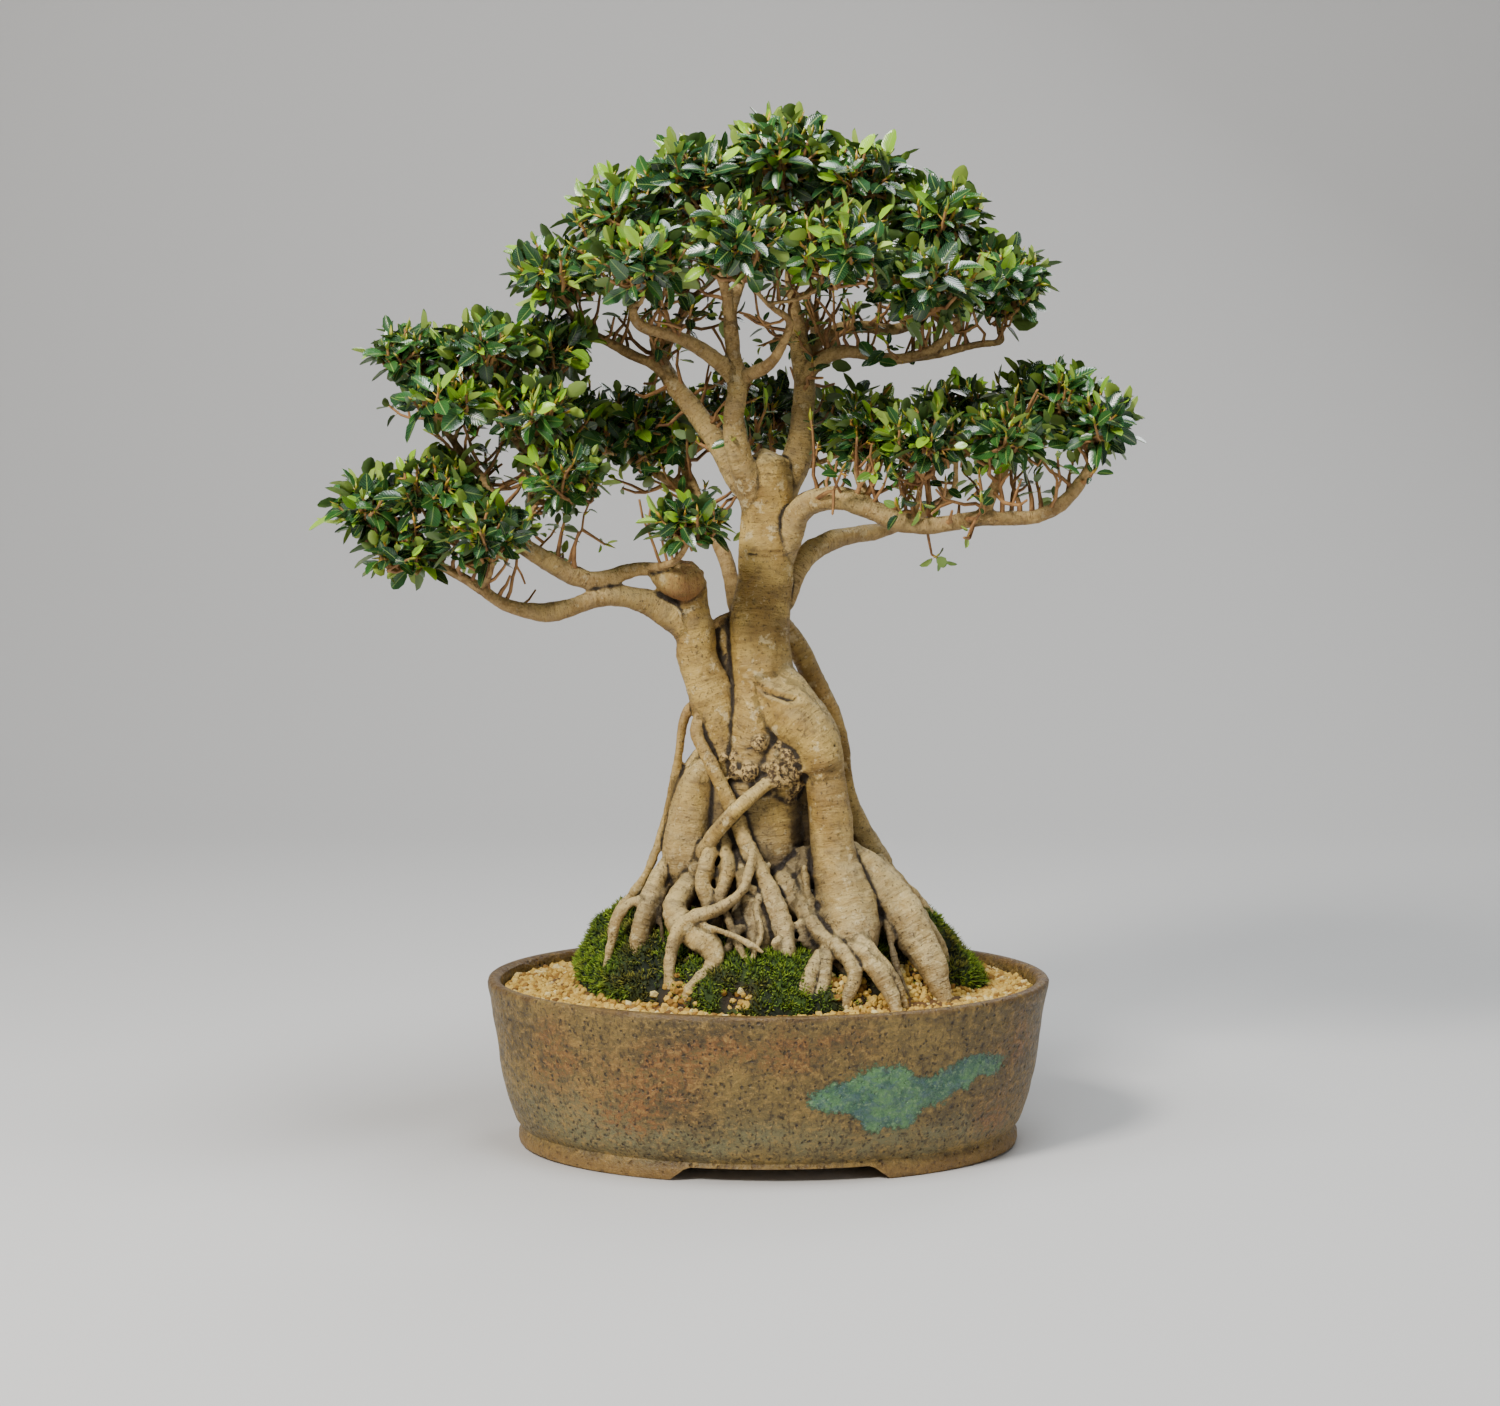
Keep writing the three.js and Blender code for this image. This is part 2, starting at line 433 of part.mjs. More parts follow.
// A root whose end lies just under the planting surface.
function bedded(rings) {
  const [x, y, z, radius] = rings.at(-1);
  const out = Math.hypot(x / GROUND.halfX, y / ovalDepth(GROUND.halfX));
  return [...rings.slice(0, -1), [x, y, Math.max(z, groundLevel(out) - ROOT_COVER), radius]];
}

// A ring on the planting surface: 0 is its middle, 1 the edge of the moss and 2 the pot's wall.
// Lift gives its height over the ground and push moves it outwards.
function groundRing(place, lift, push = 0) {
  return Array.from({ length: SECTORS }, (_, k) => {
    const turn = (2 * Math.PI * k) / SECTORS;
    const edge = mossEdge(turn);
    const out = place < 1 ? place * edge : edge + (place - 1) * (1 - edge);
    const x = (out * GROUND.halfX + push) * Math.cos(turn);
    const y = (out * ovalDepth(GROUND.halfX) + push) * Math.sin(turn);
    return new THREE.Vector3(x, y, groundLevel(out) + lift(x, y));
  });
}

// The moss is a ring round the foot of the tree, whose inner edge the wood cuts away.
const MOSS_PLACES = [0.35, 0.75, 1];
const onSoil = () => GAP - BED_DEPTH;

// The earth fills the pot below the gravel and the moss, down to the pot's floor.
function makeSoil() {
  const top = [...MOSS_PLACES, 2].map((place) => groundRing(place, () => -BED_DEPTH));
  const wall = [[173.5, 70], [161.5, POT.floorTop + GAP]];
  return throughRings([...top, ...wall.map(([r, z]) => ovalRing(r, z))]);
}

function makeGravel() {
  const grains = (x, y) => GRAIN_HEIGHT * bumps(x, y, 4.5);
  const clear = 2 * GAP;
  return throughRings([
    groundRing(1, onSoil, clear), groundRing(2, onSoil), groundRing(2, grains), groundRing(1.5, grains),
    groundRing(1, grains, clear),
  ], true);
}

function makeMoss() {
  const { height, edgeShare, bumpHeight, bumpSize } = MOSS;
  const cushions = (place) => (x, y) => {
    const share = place < 1 ? 1 : edgeShare;
    return height * share + bumpHeight * bumps(x, y, bumpSize);
  };
  return throughRings([
    ...MOSS_PLACES.map((place) => groundRing(place, onSoil)),
    ...MOSS_PLACES.toReversed().map((place) => groundRing(place, cushions(place))),
  ], true);
}

// A shoot through its rings with a leaf on each of its sides at the tip, each folded up a little along its
// rib. Margin swells it all round.
function leafyShoot(rings, roll, random, margin = 0) {
  const count = SPRAY.leavesPerShoot;
  const frames = framesOf(rings, roll);
  const corner = (frame, k, radius) =>
    frame.middle.clone().addScaledVector(around(frame, (2 * Math.PI * k) / count), radius + margin);
  const points = frames.flatMap((frame, i) =>
    Array.from({ length: count }, (_, k) => corner(frame, k, rings[i][3])));
  const triangles = [];
  for (let i = 0; i < rings.length - 1; i++) {
    for (let k = 0; k < count; k++) {
      const next = (k + 1) % count;
      const [here, there] = [i * count, (i + 1) * count];
      triangles.push(here + k, here + next, there + next, here + k, there + next, there + k);
    }
  }
  const tip = frames.at(-1);
  const thickness = LEAF.thickness + 2 * margin;
  const [under, over] = [points.length - count, points.length];
  for (let k = 0; k < count; k++) {
    points.push(points[under + k].clone().addScaledVector(tip.way, thickness));
  }
  for (let k = 1; k < count - 1; k++) triangles.push(0, k + 1, k, over, over + k, over + k + 1);
  for (let k = 0; k < count; k++) {
    const next = (k + 1) % count;
    const [a, b, A, B] = [under + k, under + next, over + k, over + next];
    const size = 0.82 + 0.3 * random();
    const lift = 0.1 + 0.75 * random();
    const out = around(tip, (2 * Math.PI * (k + 0.5)) / count);
    const way = out.clone().multiplyScalar(Math.cos(lift)).addScaledVector(tip.way, Math.sin(lift));
    const up = tip.way.clone().multiplyScalar(Math.cos(lift)).addScaledVector(out, -Math.sin(lift));
    const side = points[b].clone().sub(points[a]).normalize();
    const base = points[a].clone().lerp(points[b], 0.5);
    const at = (along, across, rise) => base.clone().addScaledVector(way, along * (LEAF.length * size + margin))
      .addScaledVector(side, across * (LEAF.width * size + 3 * margin)).addScaledVector(up, rise);
    const { droop, widest, fold } = LEAF;
    const blade = [at(1, 0, -droop * size), at(widest, -0.5, fold), at(widest, 0.5, fold)];
    const [t, l, r] = [points.length, points.length + 1, points.length + 2];
    const [T, L, R] = [t + 3, l + 3, r + 3];
    points.push(...blade, ...blade.map((point) => point.clone().addScaledVector(up, thickness)));
    triangles.push(a, b, t, a, t, l, t, b, r, A, T, B, A, L, T, T, R, B);
    triangles.push(l, t, T, l, T, L, a, l, L, a, L, A, r, b, B, r, B, R, t, r, R, t, R, T);
  }
  return solidOf(geometryOf(points, triangles));
}

function boxesMeet(a, b) {
  const [p, q] = [a.boundingBox(), b.boundingBox()];
  return [0, 1, 2].every((i) => p.min[i] <= q.max[i] && q.min[i] <= p.max[i]);
}

function crosses(solid, others) {
  return others.some((other) => boxesMeet(solid, other) && solid.intersect(other).volume() > 1e-6);
}

// Places on the branches that a leaf clump can grow from.
const carriers = [];
for (const [name, rings] of Object.entries(BRANCHES)) {
  if (name !== "bridge_root") rings.slice(2).forEach((ring) => carriers.push({ ring, rings }));
}

// Carries a clump from the nearest place on the branches: a branch's own end is lengthened to it, and from
// anywhere else it gets a side branch. Returns the last two rings, which the spray grows on from.
const sideBranches = [];
function carry([, x, y, z, , , halfZ]) {
  const foot = new THREE.Vector3(0.97 * x, 0.94 * y, z - 0.62 * halfZ);
  const cost = ({ ring }) => {
    const away = foot.clone().sub(new THREE.Vector3(...ring));
    return away.length() + 2.5 * Math.max(0, -away.z);
  };
  const best = carriers.reduce((a, b) => (cost(b) < cost(a) ? b : a));
  const start = new THREE.Vector3(...best.ring);
  const span = foot.clone().sub(start);
  const radius = Math.min(0.8 * best.ring[3], 3.2);
  const bend = new THREE.Vector3(-0.08 * span.y, 0.08 * span.x, -0.1 * span.length());
  const middle = start.clone().addScaledVector(span, 0.5).add(bend);
  const added = [[...middle.toArray(), (radius + SPRAY.radius) / 2], [...foot.toArray(), SPRAY.radius]];
  if (best.ring === best.rings.at(-1)) best.rings.push(...added);
  else sideBranches.push([[...best.ring.slice(0, 3), radius], ...added]);
  carriers.push({ ring: added[0], rings: added });
  return added;
}

// One leafy spray beyond the end of its branch: a stem that goes on as the first shoot, with the others
// forking from it. Each shoot is drawn again until it is clear of everything else.
function spray([, x, y, z, ...halves], branchEnd, obstacles, seed) {
  const middle = new THREE.Vector3(x, y, z);
  const spread = new THREE.Vector3(...halves).subScalar(SPRAY.inset);
  const [before, tip] = branchEnd.map((ring) => new THREE.Vector3(...ring));
  const way = tip.clone().sub(before).normalize();
  const ring = (point) => [point.x, point.y, point.z, SPRAY.radius];
  const start = tip.clone().addScaledVector(way, GAP);
  const fork = start.clone().addScaledVector(way, SPRAY.stem);
  const firstTurn = 2 * Math.PI * seeded(seed)();
  let body = null;
  for (let s = 0; s < SPRAY.shoots; s++) {
    for (let attempt = 0; attempt < SPRAY.tries; attempt++) {
      const drawn = seed + 40 * s + 200 * attempt;
      const random = seeded(drawn);
      const turn = firstTurn + (2 * Math.PI * s) / SPRAY.shoots + (random() - 0.5) * (0.4 + 0.1 * attempt);
      const rise = (random() - 0.1) * 0.9;
      const out = new THREE.Vector3(Math.cos(turn) * Math.cos(rise), Math.sin(turn) * Math.cos(rise), Math.sin(rise));
      const end = out.multiply(spread).add(middle);
      const roll = 2 * random();
      const rings = [ring(fork), ring(end)];
      const beyond = [ring(fork.clone().lerp(end, 0.4)), ring(end)];
      const room = (through) => leafyShoot(through, roll, seeded(drawn + 7), SPRAY.clearance);
      if (crosses(room(rings), obstacles) || (body && crosses(room(beyond), [body]))) continue;
      if (!body) rings.unshift(ring(start));
      const shoot = leafyShoot(rings, roll, seeded(drawn + 7));
      body = body ? body.add(shoot) : shoot;
      break;
    }
  }
  return body;
}

const branchEnds = CLUMPS.map(carry);
const lower = [...Object.values(TRUNKS).map(thinned), ...Object.values(ROOTS).map(bedded).map(thinned)];
const upper = Object.values(BRANCHES).map(thinned);
const wood = Manifold.union([
  ...[...lower, ...upper].map((rings) => limb(rings)),
  ...sideBranches.map((rings) => limb(rings, 3)),
]);
const woodRoom = Manifold.union(lower.map((rings) => limb(rings, undefined, ROOT_CLEARANCE)));

// What the roots leave of a layer, without the scraps that they cut off it.
const LEAST_PATCH = 400;
function patches(name, layer, look) {
  const pieces = layer.subtract(woodRoom).decompose().filter((piece) => piece.volume() > LEAST_PATCH);
  pieces.sort((a, b) => b.volume() - a.volume());
  return pieces.map((piece, i) => meshOf(`${name}_${i + 1}`, piece, look));
}

const plant = new THREE.Group();
plant.add(meshOf("pot", makePot(), STONEWARE));
plant.add(meshOf("tree", wood, BARK));
plant.add(meshOf("soil", makeSoil().subtract(woodRoom), EARTH));
plant.add(...patches("gravel", makeGravel(), GRAVEL));
plant.add(...patches("moss", makeMoss(), MOSS_GREEN));

const sprays = [];
CLUMPS.forEach((clump, i) => {
  const leafy = spray(clump, branchEnds[i], [wood, ...sprays], 101 + i);
  sprays.push(leafy);
  plant.add(meshOf(`spray_${clump[0]}`, leafy, FOLIAGE));
});

const middle = new THREE.Box3().setFromObject(plant).getCenter(new THREE.Vector3());
plant.position.set(-middle.x, -middle.y, 0);
const root = new THREE.Group();
root.add(plant);
export default root;
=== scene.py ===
"""A fig bonsai over exposed roots in an oval stoneware pot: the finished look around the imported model.

Shapes are worked out in millimetres about the middle of the pot's underside, as the part's own source does,
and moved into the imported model's frame, in metres, when a mesh is made.
"""

import math

import bmesh
import bpy
import numpy as np
from mathutils import Matrix, Vector


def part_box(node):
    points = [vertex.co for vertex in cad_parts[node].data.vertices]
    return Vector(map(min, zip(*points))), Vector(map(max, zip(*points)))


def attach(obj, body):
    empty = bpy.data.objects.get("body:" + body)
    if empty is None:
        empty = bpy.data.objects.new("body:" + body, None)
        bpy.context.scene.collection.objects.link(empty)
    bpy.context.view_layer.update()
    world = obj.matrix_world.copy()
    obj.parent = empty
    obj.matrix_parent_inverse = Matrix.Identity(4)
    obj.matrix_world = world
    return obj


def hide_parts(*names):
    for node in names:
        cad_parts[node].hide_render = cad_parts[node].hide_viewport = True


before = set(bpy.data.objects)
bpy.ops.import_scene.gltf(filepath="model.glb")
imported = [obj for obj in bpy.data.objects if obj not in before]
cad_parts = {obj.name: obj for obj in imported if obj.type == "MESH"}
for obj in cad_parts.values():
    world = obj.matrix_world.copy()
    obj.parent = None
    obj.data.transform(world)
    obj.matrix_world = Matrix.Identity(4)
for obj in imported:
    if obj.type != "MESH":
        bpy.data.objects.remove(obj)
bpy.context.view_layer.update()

MM = 0.001
POT_LOW, POT_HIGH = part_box("pot")
MIDDLE = np.array([(POT_LOW.x + POT_HIGH.x) / 2, (POT_LOW.y + POT_HIGH.y) / 2, 0.0])

# Limbs as rings on their centre lines: x, y, z and radius.
TRUNKS = {
    "root_mass": [[0, 4, 76, 38], [-2, 3, 110, 46], [-6, 0, 158, 39]],
    "main_trunk": [
        [-5, 0, 150, 39], [-8, -2, 185, 40], [-11, -2, 224, 37.5], [-11, -4, 251, 32], [-8, -8, 279, 28],
        [-3, -12, 303, 24], [-4, -10, 322, 22], [-5, -8, 343, 20.5], [-4, -6, 363, 19.5], [-2, -5, 383, 18.3],
        [-1, -5, 404, 18], [-1, -4, 426, 17.8], [-2, -4, 446, 17.6], [-3, -4, 462, 15],
    ],
    "left_trunk": [
        [-20, -10, 259, 20], [-28, -14, 275, 17], [-33, -16, 289, 15.4], [-38, -16, 304, 14.8], [-43, -16, 318, 14],
        [-48, -15, 334, 13.7], [-50, -14, 349, 13.4], [-52, -13, 364, 12.4], [-54, -14, 378, 13], [-55, -15, 390, 10],
    ],
    "right_leg": [
        [-4, -12, 322, 16], [8, -18, 308, 18], [21, -24, 295, 16], [31, -28, 283, 14.3], [36, -31, 269, 13.4],
        [38, -33, 253, 13.3], [40, -35, 235, 13.4], [41, -37, 216, 14.2], [43, -40, 198, 15.4], [47, -44, 182, 18],
        [51, -49, 167, 20.4], [55, -54, 152, 20], [57, -58, 136, 15],
    ],
    "back_core": [[5, 34, 140, 32], [0, 30, 180, 30], [-4, 24, 212, 26], [-5, 16, 241, 21], [-4, 8, 267, 16]],
    "left_lobe": [
        [-38, -10, 262, 9], [-46, -14, 248, 13.4], [-51, -18, 230, 16], [-54, -20, 210, 16.8], [-54, -20, 191, 15.6],
        [-51, -20, 174, 12],
    ],
    "upper_lobe": [
        [-44, -6, 268, 6], [-48, -10, 254, 10], [-43, -16, 240, 11.4], [-35, -18, 226, 10], [-29, -18, 214, 6.5],
    ],
}

ROOTS = {
    "right_buttress": [
        [52, -30, 205, 9], [65, -32, 190, 13.4], [77, -36, 177, 14.6], [88, -42, 163, 14.4], [98, -48, 147, 12.4],
        [107, -54, 132, 9.6], [113, -58, 118, 7], [117, -60, 106, 5],
    ],
    "right_back_root": [
        [10, 12, 352, 6], [20, 14, 336, 7.4], [27, 14, 322, 7.4], [36, 14, 306, 6.1], [44, 14, 290, 5.1],
        [50, 12, 271, 4.5], [53, 10, 249, 4.8], [57, 8, 229, 6.8], [64, 8, 211, 8.8], [71, 6, 196, 9.5],
        [79, 4, 182, 8.1],
    ],
    "aerial_left": [
        [-42, -9, 301, 3.2], [-52, -12, 298, 3.7], [-57, -14, 288, 3.4], [-60, -14, 266, 3.1], [-66, -14, 234, 3.1],
        [-73, -14, 209, 3.1], [-81, -14, 187, 3.5], [-89, -14, 174, 4], [-98, -12, 164, 3.2], [-106, -10, 148, 2.8],
        [-111, -8, 128, 2.6],
    ],
    "aerial_cross": [
        [-44, -22, 298, 4], [-48, -29, 284, 4.3], [-42, -33, 271, 4.4], [-34, -37, 255, 4.8], [-27, -40, 240, 5.3],
        [-20, -42, 225, 5.3], [-14, -45, 210, 5.4], [-5, -50, 193, 6], [2, -55, 178, 6.7], [8, -61, 163, 7.2],
        [11, -67, 147, 7], [13, -71, 132, 5.8], [13, -73, 116, 4],
    ],
    "crossing_root": [
        [10, -28, 258, 4.6], [-4, -42, 248, 4.6], [-14, -48, 241, 4.9], [-25, -50, 231, 5], [-35, -46, 219, 5.3],
        [-42, -38, 207, 5.3], [-46, -30, 195, 5],
    ],
    "pale_root_a": [
        [-36, -38, 214, 4.6], [-41, -47, 198, 5.6], [-43, -50, 185, 5.6], [-40, -54, 172, 5.3], [-38, -57, 158, 4.6],
        [-37, -60, 142, 3.4],
    ],
    "looping_root": [
        [-10, -46, 212, 2.6], [-12, -56, 198, 3.3], [-16, -60, 186, 3.6], [-24, -63, 177, 3.9], [-36, -65, 170, 4.3],
        [-48, -65, 166, 4.8], [-58, -66, 158, 5.1], [-63, -68, 146, 4.3], [-65, -70, 133, 4.3], [-64, -72, 119, 4.3],
        [-64, -73, 104, 3.9],
    ],
    "left_foot_root": [
        [-46, -28, 188, 8], [-56, -41, 179, 8], [-61, -50, 169, 8.6], [-58, -57, 160, 9.2], [-49, -62, 154, 9.2],
        [-40, -66, 148, 8.4], [-35, -71, 140, 6.4], [-40, -75, 132, 4.8], [-48, -79, 126, 4], [-54, -82, 116, 3.6],
        [-57, -84, 102, 3.2],
    ],
    "left_root": [
        [-60, -18, 202, 6], [-71, -25, 189, 6.4], [-77, -32, 178, 6.8], [-81, -38, 164, 7.3], [-85, -42, 149, 7],
        [-87, -45, 134, 5.4], [-88, -47, 116, 3.6],
    ],
    "left_arch_root": [
        [-62, -18, 190, 3.3], [-71, -31, 176, 3.7], [-81, -36, 172, 3.7], [-92, -38, 171, 3.7], [-100, -40, 161, 3.4],
        [-104, -42, 147, 3.3], [-108, -43, 126, 2.8],
    ],
    "front_pale_root": [
        [-18, -38, 204, 5.3], [-14, -48, 182, 7.4], [-9, -54, 165, 8.9], [-6, -60, 150, 8], [-4, -64, 132, 5],
    ],
    "front_white_root": [
        [24, -32, 200, 6], [14, -38, 186, 8.6], [8, -42, 172, 8], [6, -47, 158, 5.4], [5, -52, 142, 3],
    ],
    "front_root_b": [
        [24, -30, 206, 4.8], [22, -42, 189, 5.6], [22, -48, 176, 5.9], [26, -56, 164, 6.3], [35, -64, 153, 6.6],
        [45, -70, 146, 6.4], [53, -76, 138, 5.9], [55, -81, 127, 5.4], [51, -85, 116, 4.7], [47, -88, 102, 3.8],
    ],
    "front_root_c": [
        [30, -52, 168, 4.6], [42, -62, 162, 4.9], [54, -68, 156, 4.9], [65, -73, 148, 4.2], [75, -76, 138, 3.6],
        [84, -78, 125, 3], [90, -80, 108, 2.5],
    ],
    "front_root_d": [
        [42, -56, 160, 5.8], [53, -68, 150, 6.2], [63, -75, 142, 6.2], [73, -81, 130, 5.8], [80, -85, 117, 5],
        [86, -88, 102, 4],
    ],
    "front_root_e": [
        [38, -60, 156, 5.2], [37, -74, 140, 5.3], [35, -82, 126, 5.2], [31, -87, 113, 4.5], [29, -90, 100, 3.8],
    ],
    "front_root_f": [[33, -72, 144, 3.4], [27, -82, 130, 5.6], [22, -88, 118, 6], [18, -91, 103, 5]],
    "right_thin_root_b": [
        [77, 4, 193, 4.2], [89, 4, 178, 4.1], [101, 6, 166, 3.8], [111, 8, 154, 3.4], [120, 10, 140, 2.9],
        [126, 11, 122, 2.4],
    ],
    "right_side_root": [
        [72, -6, 194, 6], [89, -10, 174, 6.1], [102, -14, 157, 5.6], [114, -18, 139, 4.6], [122, -20, 118, 3.4],
    ],
    "back_root_a": [
        [15, 44, 196, 11], [31, 62, 168, 10.5], [48, 78, 142, 8.5], [59, 88, 120, 6.2], [66, 93, 102, 4.4],
    ],
    "back_root_b": [
        [-5, 46, 196, 11.8], [-11, 64, 166, 11], [-18, 80, 139, 8.4], [-24, 90, 119, 5.8], [-27, 95, 102, 4.4],
    ],
    "back_root_c": [
        [-27, 26, 198, 9.6], [-45, 44, 171, 9.7], [-62, 58, 149, 7.7], [-74, 66, 129, 5.6], [-82, 71, 108, 3.8],
    ],
    "back_root_d": [[30, 26, 186, 9.6], [57, 42, 160, 9], [80, 52, 142, 7], [97, 59, 125, 5], [108, 63, 106, 3.6]],
    "back_root_e": [
        [-40, 4, 190, 8], [-61, 14, 166, 7.5], [-79, 22, 149, 6.2], [-93, 28, 134, 4.8], [-104, 32, 114, 3.4],
    ],
    "front_stick": [
        [-31, -52, 178, 2.3], [-26, -62, 162, 2.4], [-20, -68, 149, 2.6], [-15, -74, 137, 2.6], [-11, -79, 120, 2.4],
    ],
    "front_stick_b": [
        [-49, -66, 162, 2], [-36, -70, 159, 2], [-23, -74, 155, 2.3], [-11, -78, 150, 2.3], [-3, -80, 145, 2],
    ],
    "pale_root_b": [
        [-30, -36, 216, 4], [-27, -47, 199, 4.6], [-29, -51, 187, 4.6], [-33, -54, 174, 4], [-34, -56, 158, 3.3],
    ],
    "right_thin_root_a": [
        [70, -38, 178, 2.8], [78, -51, 160, 2.7], [81, -57, 145, 2.6], [85, -62, 131, 2.5], [92, -66, 112, 2.3],
    ],
    "left_thread_root": [[-69, -34, 178, 2], [-72, -38, 166, 1.7], [-71, -42, 153, 1.7], [-68, -46, 140, 1.6]],
}

BRANCHES = {
    "stem_front": [
        [-7, -6, 430, 11], [-14, -13, 449, 10], [-19, -18, 463, 8.6], [-22, -20, 476, 8.1], [-23, -21, 489, 7.3],
        [-21, -22, 503, 7.1], [-21, -23, 518, 6.8], [-23, -24, 533, 5.3], [-25, -26, 549, 4.6], [-25, -28, 566, 3.8],
    ],
    "stem_right": [
        [4, 4, 432, 12.5], [12, 6, 449, 11], [19, 8, 463, 9.7], [22, 8, 478, 8.8], [23, 8, 493, 8.3], [24, 8, 509, 8],
        [23, 6, 525, 7.3], [20, 4, 541, 6],
    ],
    "stem_left": [
        [-10, 2, 436, 9], [-22, 8, 452, 8.4], [-30, 12, 465, 8], [-36, 16, 476, 7.7], [-45, 20, 489, 7.5],
        [-54, 24, 501, 7], [-63, 27, 512, 6.4], [-69, 29, 522, 5.7], [-73, 30, 532, 4.8], [-77, 31, 544, 4],
    ],
    "back_left_stem": [
        [-14, 4, 350, 6.4], [-22, 15, 363, 5.8], [-24, 20, 376, 5.6], [-27, 25, 389, 5.4], [-32, 31, 402, 5.4],
        [-39, 41, 416, 5.1], [-47, 53, 431, 4.8], [-54, 64, 447, 4.2], [-60, 73, 461, 3.6],
    ],
    "bridge_root": [[-46, -12, 343, 3], [-36, -8, 353, 3], [-30, -4, 357, 3], [-18, 2, 361, 3]],
    "branch_left_low": [
        [-50, -14, 346, 10], [-63, -18, 359, 10], [-77, -22, 368, 9.3], [-89, -26, 372, 8.3], [-102, -30, 374, 7.2],
        [-115, -33, 372, 6.3], [-130, -36, 367, 6.2], [-145, -38, 364, 6.2], [-157, -40, 365, 5.5],
        [-169, -41, 368, 4.7], [-179, -42, 373, 4], [-189, -42, 380, 3.8], [-202, -42, 388, 3.6],
        [-216, -42, 396, 3.2], [-230, -42, 405, 2.7],
    ],
    "branch_left_high": [
        [-52, -18, 382, 6.2], [-68, -24, 390, 5.4], [-81, -26, 392, 5], [-93, -28, 390, 5.5], [-105, -30, 386, 5.9],
        [-117, -32, 385, 6.2], [-129, -34, 388, 6.6], [-141, -36, 395, 6.8], [-152, -38, 402, 6.2],
        [-163, -40, 409, 5.6], [-171, -42, 417, 4.9], [-177, -42, 427, 4.3], [-180, -42, 439, 3.7],
        [-186, -40, 451, 3.3], [-196, -38, 463, 3], [-206, -36, 476, 2.6],
    ],
    "branch_right_front": [
        [8, -6, 397, 9.6], [14, -14, 414, 8.8], [19, -21, 427, 8], [27, -26, 435, 7.6], [38, -30, 438, 7.5],
        [49, -33, 438, 7.9], [60, -36, 434, 7.9], [70, -38, 430, 7.2], [80, -40, 425, 6.5], [92, -42, 422, 6.2],
        [105, -43, 421, 5.9], [119, -44, 423, 5.5], [138, -44, 426, 5.2], [156, -44, 426, 4.9], [174, -44, 427, 4.9],
        [188, -42, 433, 4.9], [198, -40, 442, 4.7], [206, -38, 453, 4.1], [211, -36, 463, 3.3],
    ],
    "branch_right_back": [
        [11, 0, 366, 6.6], [18, 11, 386, 6.8], [27, 20, 398, 7.3], [38, 28, 405, 7.4], [50, 36, 409, 6.8],
        [64, 44, 411, 6.1], [78, 52, 413, 5.1], [95, 60, 418, 4.4], [112, 66, 427, 3.8], [128, 70, 439, 3.2],
    ],
    "crown_left_front": [
        [-20, -21, 512, 6], [-29, -26, 524, 5.9], [-38, -30, 531, 5.5], [-47, -34, 537, 5.1], [-56, -38, 542, 4.8],
        [-68, -42, 546, 4.4], [-79, -46, 549, 4], [-86, -50, 554, 3.5], [-88, -54, 563, 2.9],
    ],
    "crown_mid_front": [
        [-20, -21, 515, 5], [-11, -28, 520, 4.6], [-2, -36, 524, 4.2], [5, -44, 531, 3.7], [10, -52, 541, 3.2],
        [13, -60, 553, 2.7],
    ],
    "crown_right": [
        [23, 5, 516, 6], [33, -2, 527, 5.3], [44, -8, 533, 5], [56, -12, 534, 4.6], [69, -16, 531, 4.3],
        [83, -20, 529, 3.9], [96, -24, 531, 3.6], [108, -26, 536, 3.3], [118, -28, 545, 3], [126, -30, 556, 2.6],
    ],
    "crown_right_low": [
        [92, -23, 530, 3.3], [111, -22, 532, 3], [125, -20, 536, 2.9], [139, -18, 539, 2.6], [153, -16, 541, 2.4],
    ],
    "crown_right_back": [
        [21, 6, 530, 5.5], [35, 20, 543, 5], [50, 30, 550, 4.7], [67, 38, 551, 4.4], [81, 44, 549, 4.1],
        [95, 50, 552, 4], [107, 54, 560, 3.4], [116, 58, 571, 2.8],
    ],
    "crown_top": [[21, 4, 532, 5.4], [20, 4, 548, 4.7], [17, 2, 564, 4.2], [14, 0, 580, 3.6], [12, 0, 597, 3]],
    "crown_left": [
        [-66, 28, 516, 4.8], [-78, 26, 526, 4.2], [-91, 22, 532, 3.8], [-104, 18, 539, 3.3], [-117, 14, 546, 3],
        [-129, 10, 554, 2.5],
    ],
    "crown_back_left": [[-72, 28, 525, 4.2], [-68, 43, 541, 4.1], [-60, 58, 557, 3.6], [-52, 70, 571, 3.1]],
    "crown_back": [[24, 12, 510, 5.6], [30, 32, 526, 5.1], [33, 53, 542, 4.7], [32, 71, 558, 4], [27, 86, 573, 3.2]],
    "shelf_back": [
        [0, 6, 400, 8], [5, 29, 415, 7.1], [7, 50, 428, 6.4], [3, 70, 442, 5.4], [-2, 87, 456, 4.2],
        [-7, 100, 469, 3.2],
    ],
    "shelf_left_back": [
        [-44, 50, 427, 4.4], [-60, 58, 441, 3.8], [-76, 62, 451, 3.4], [-92, 64, 459, 3.1], [-109, 64, 467, 2.7],
    ],
    "branch_left_mid": [
        [-163, -41, 405, 4.2], [-158, -39, 422, 3.7], [-154, -36, 438, 3.6], [-155, -34, 454, 3.3],
        [-161, -32, 470, 3], [-171, -30, 484, 2.6],
    ],
    "branch_right_up": [[66, -36, 430, 4.2], [62, -28, 444, 3.7], [59, -22, 455, 3.3], [59, -16, 466, 2.7]],
    "branch_right_knob": [
        [139, -44, 424, 4.8], [144, -44, 439, 4.2], [150, -44, 451, 3.9], [155, -42, 464, 3.4], [158, -40, 476, 2.7],
    ],
}

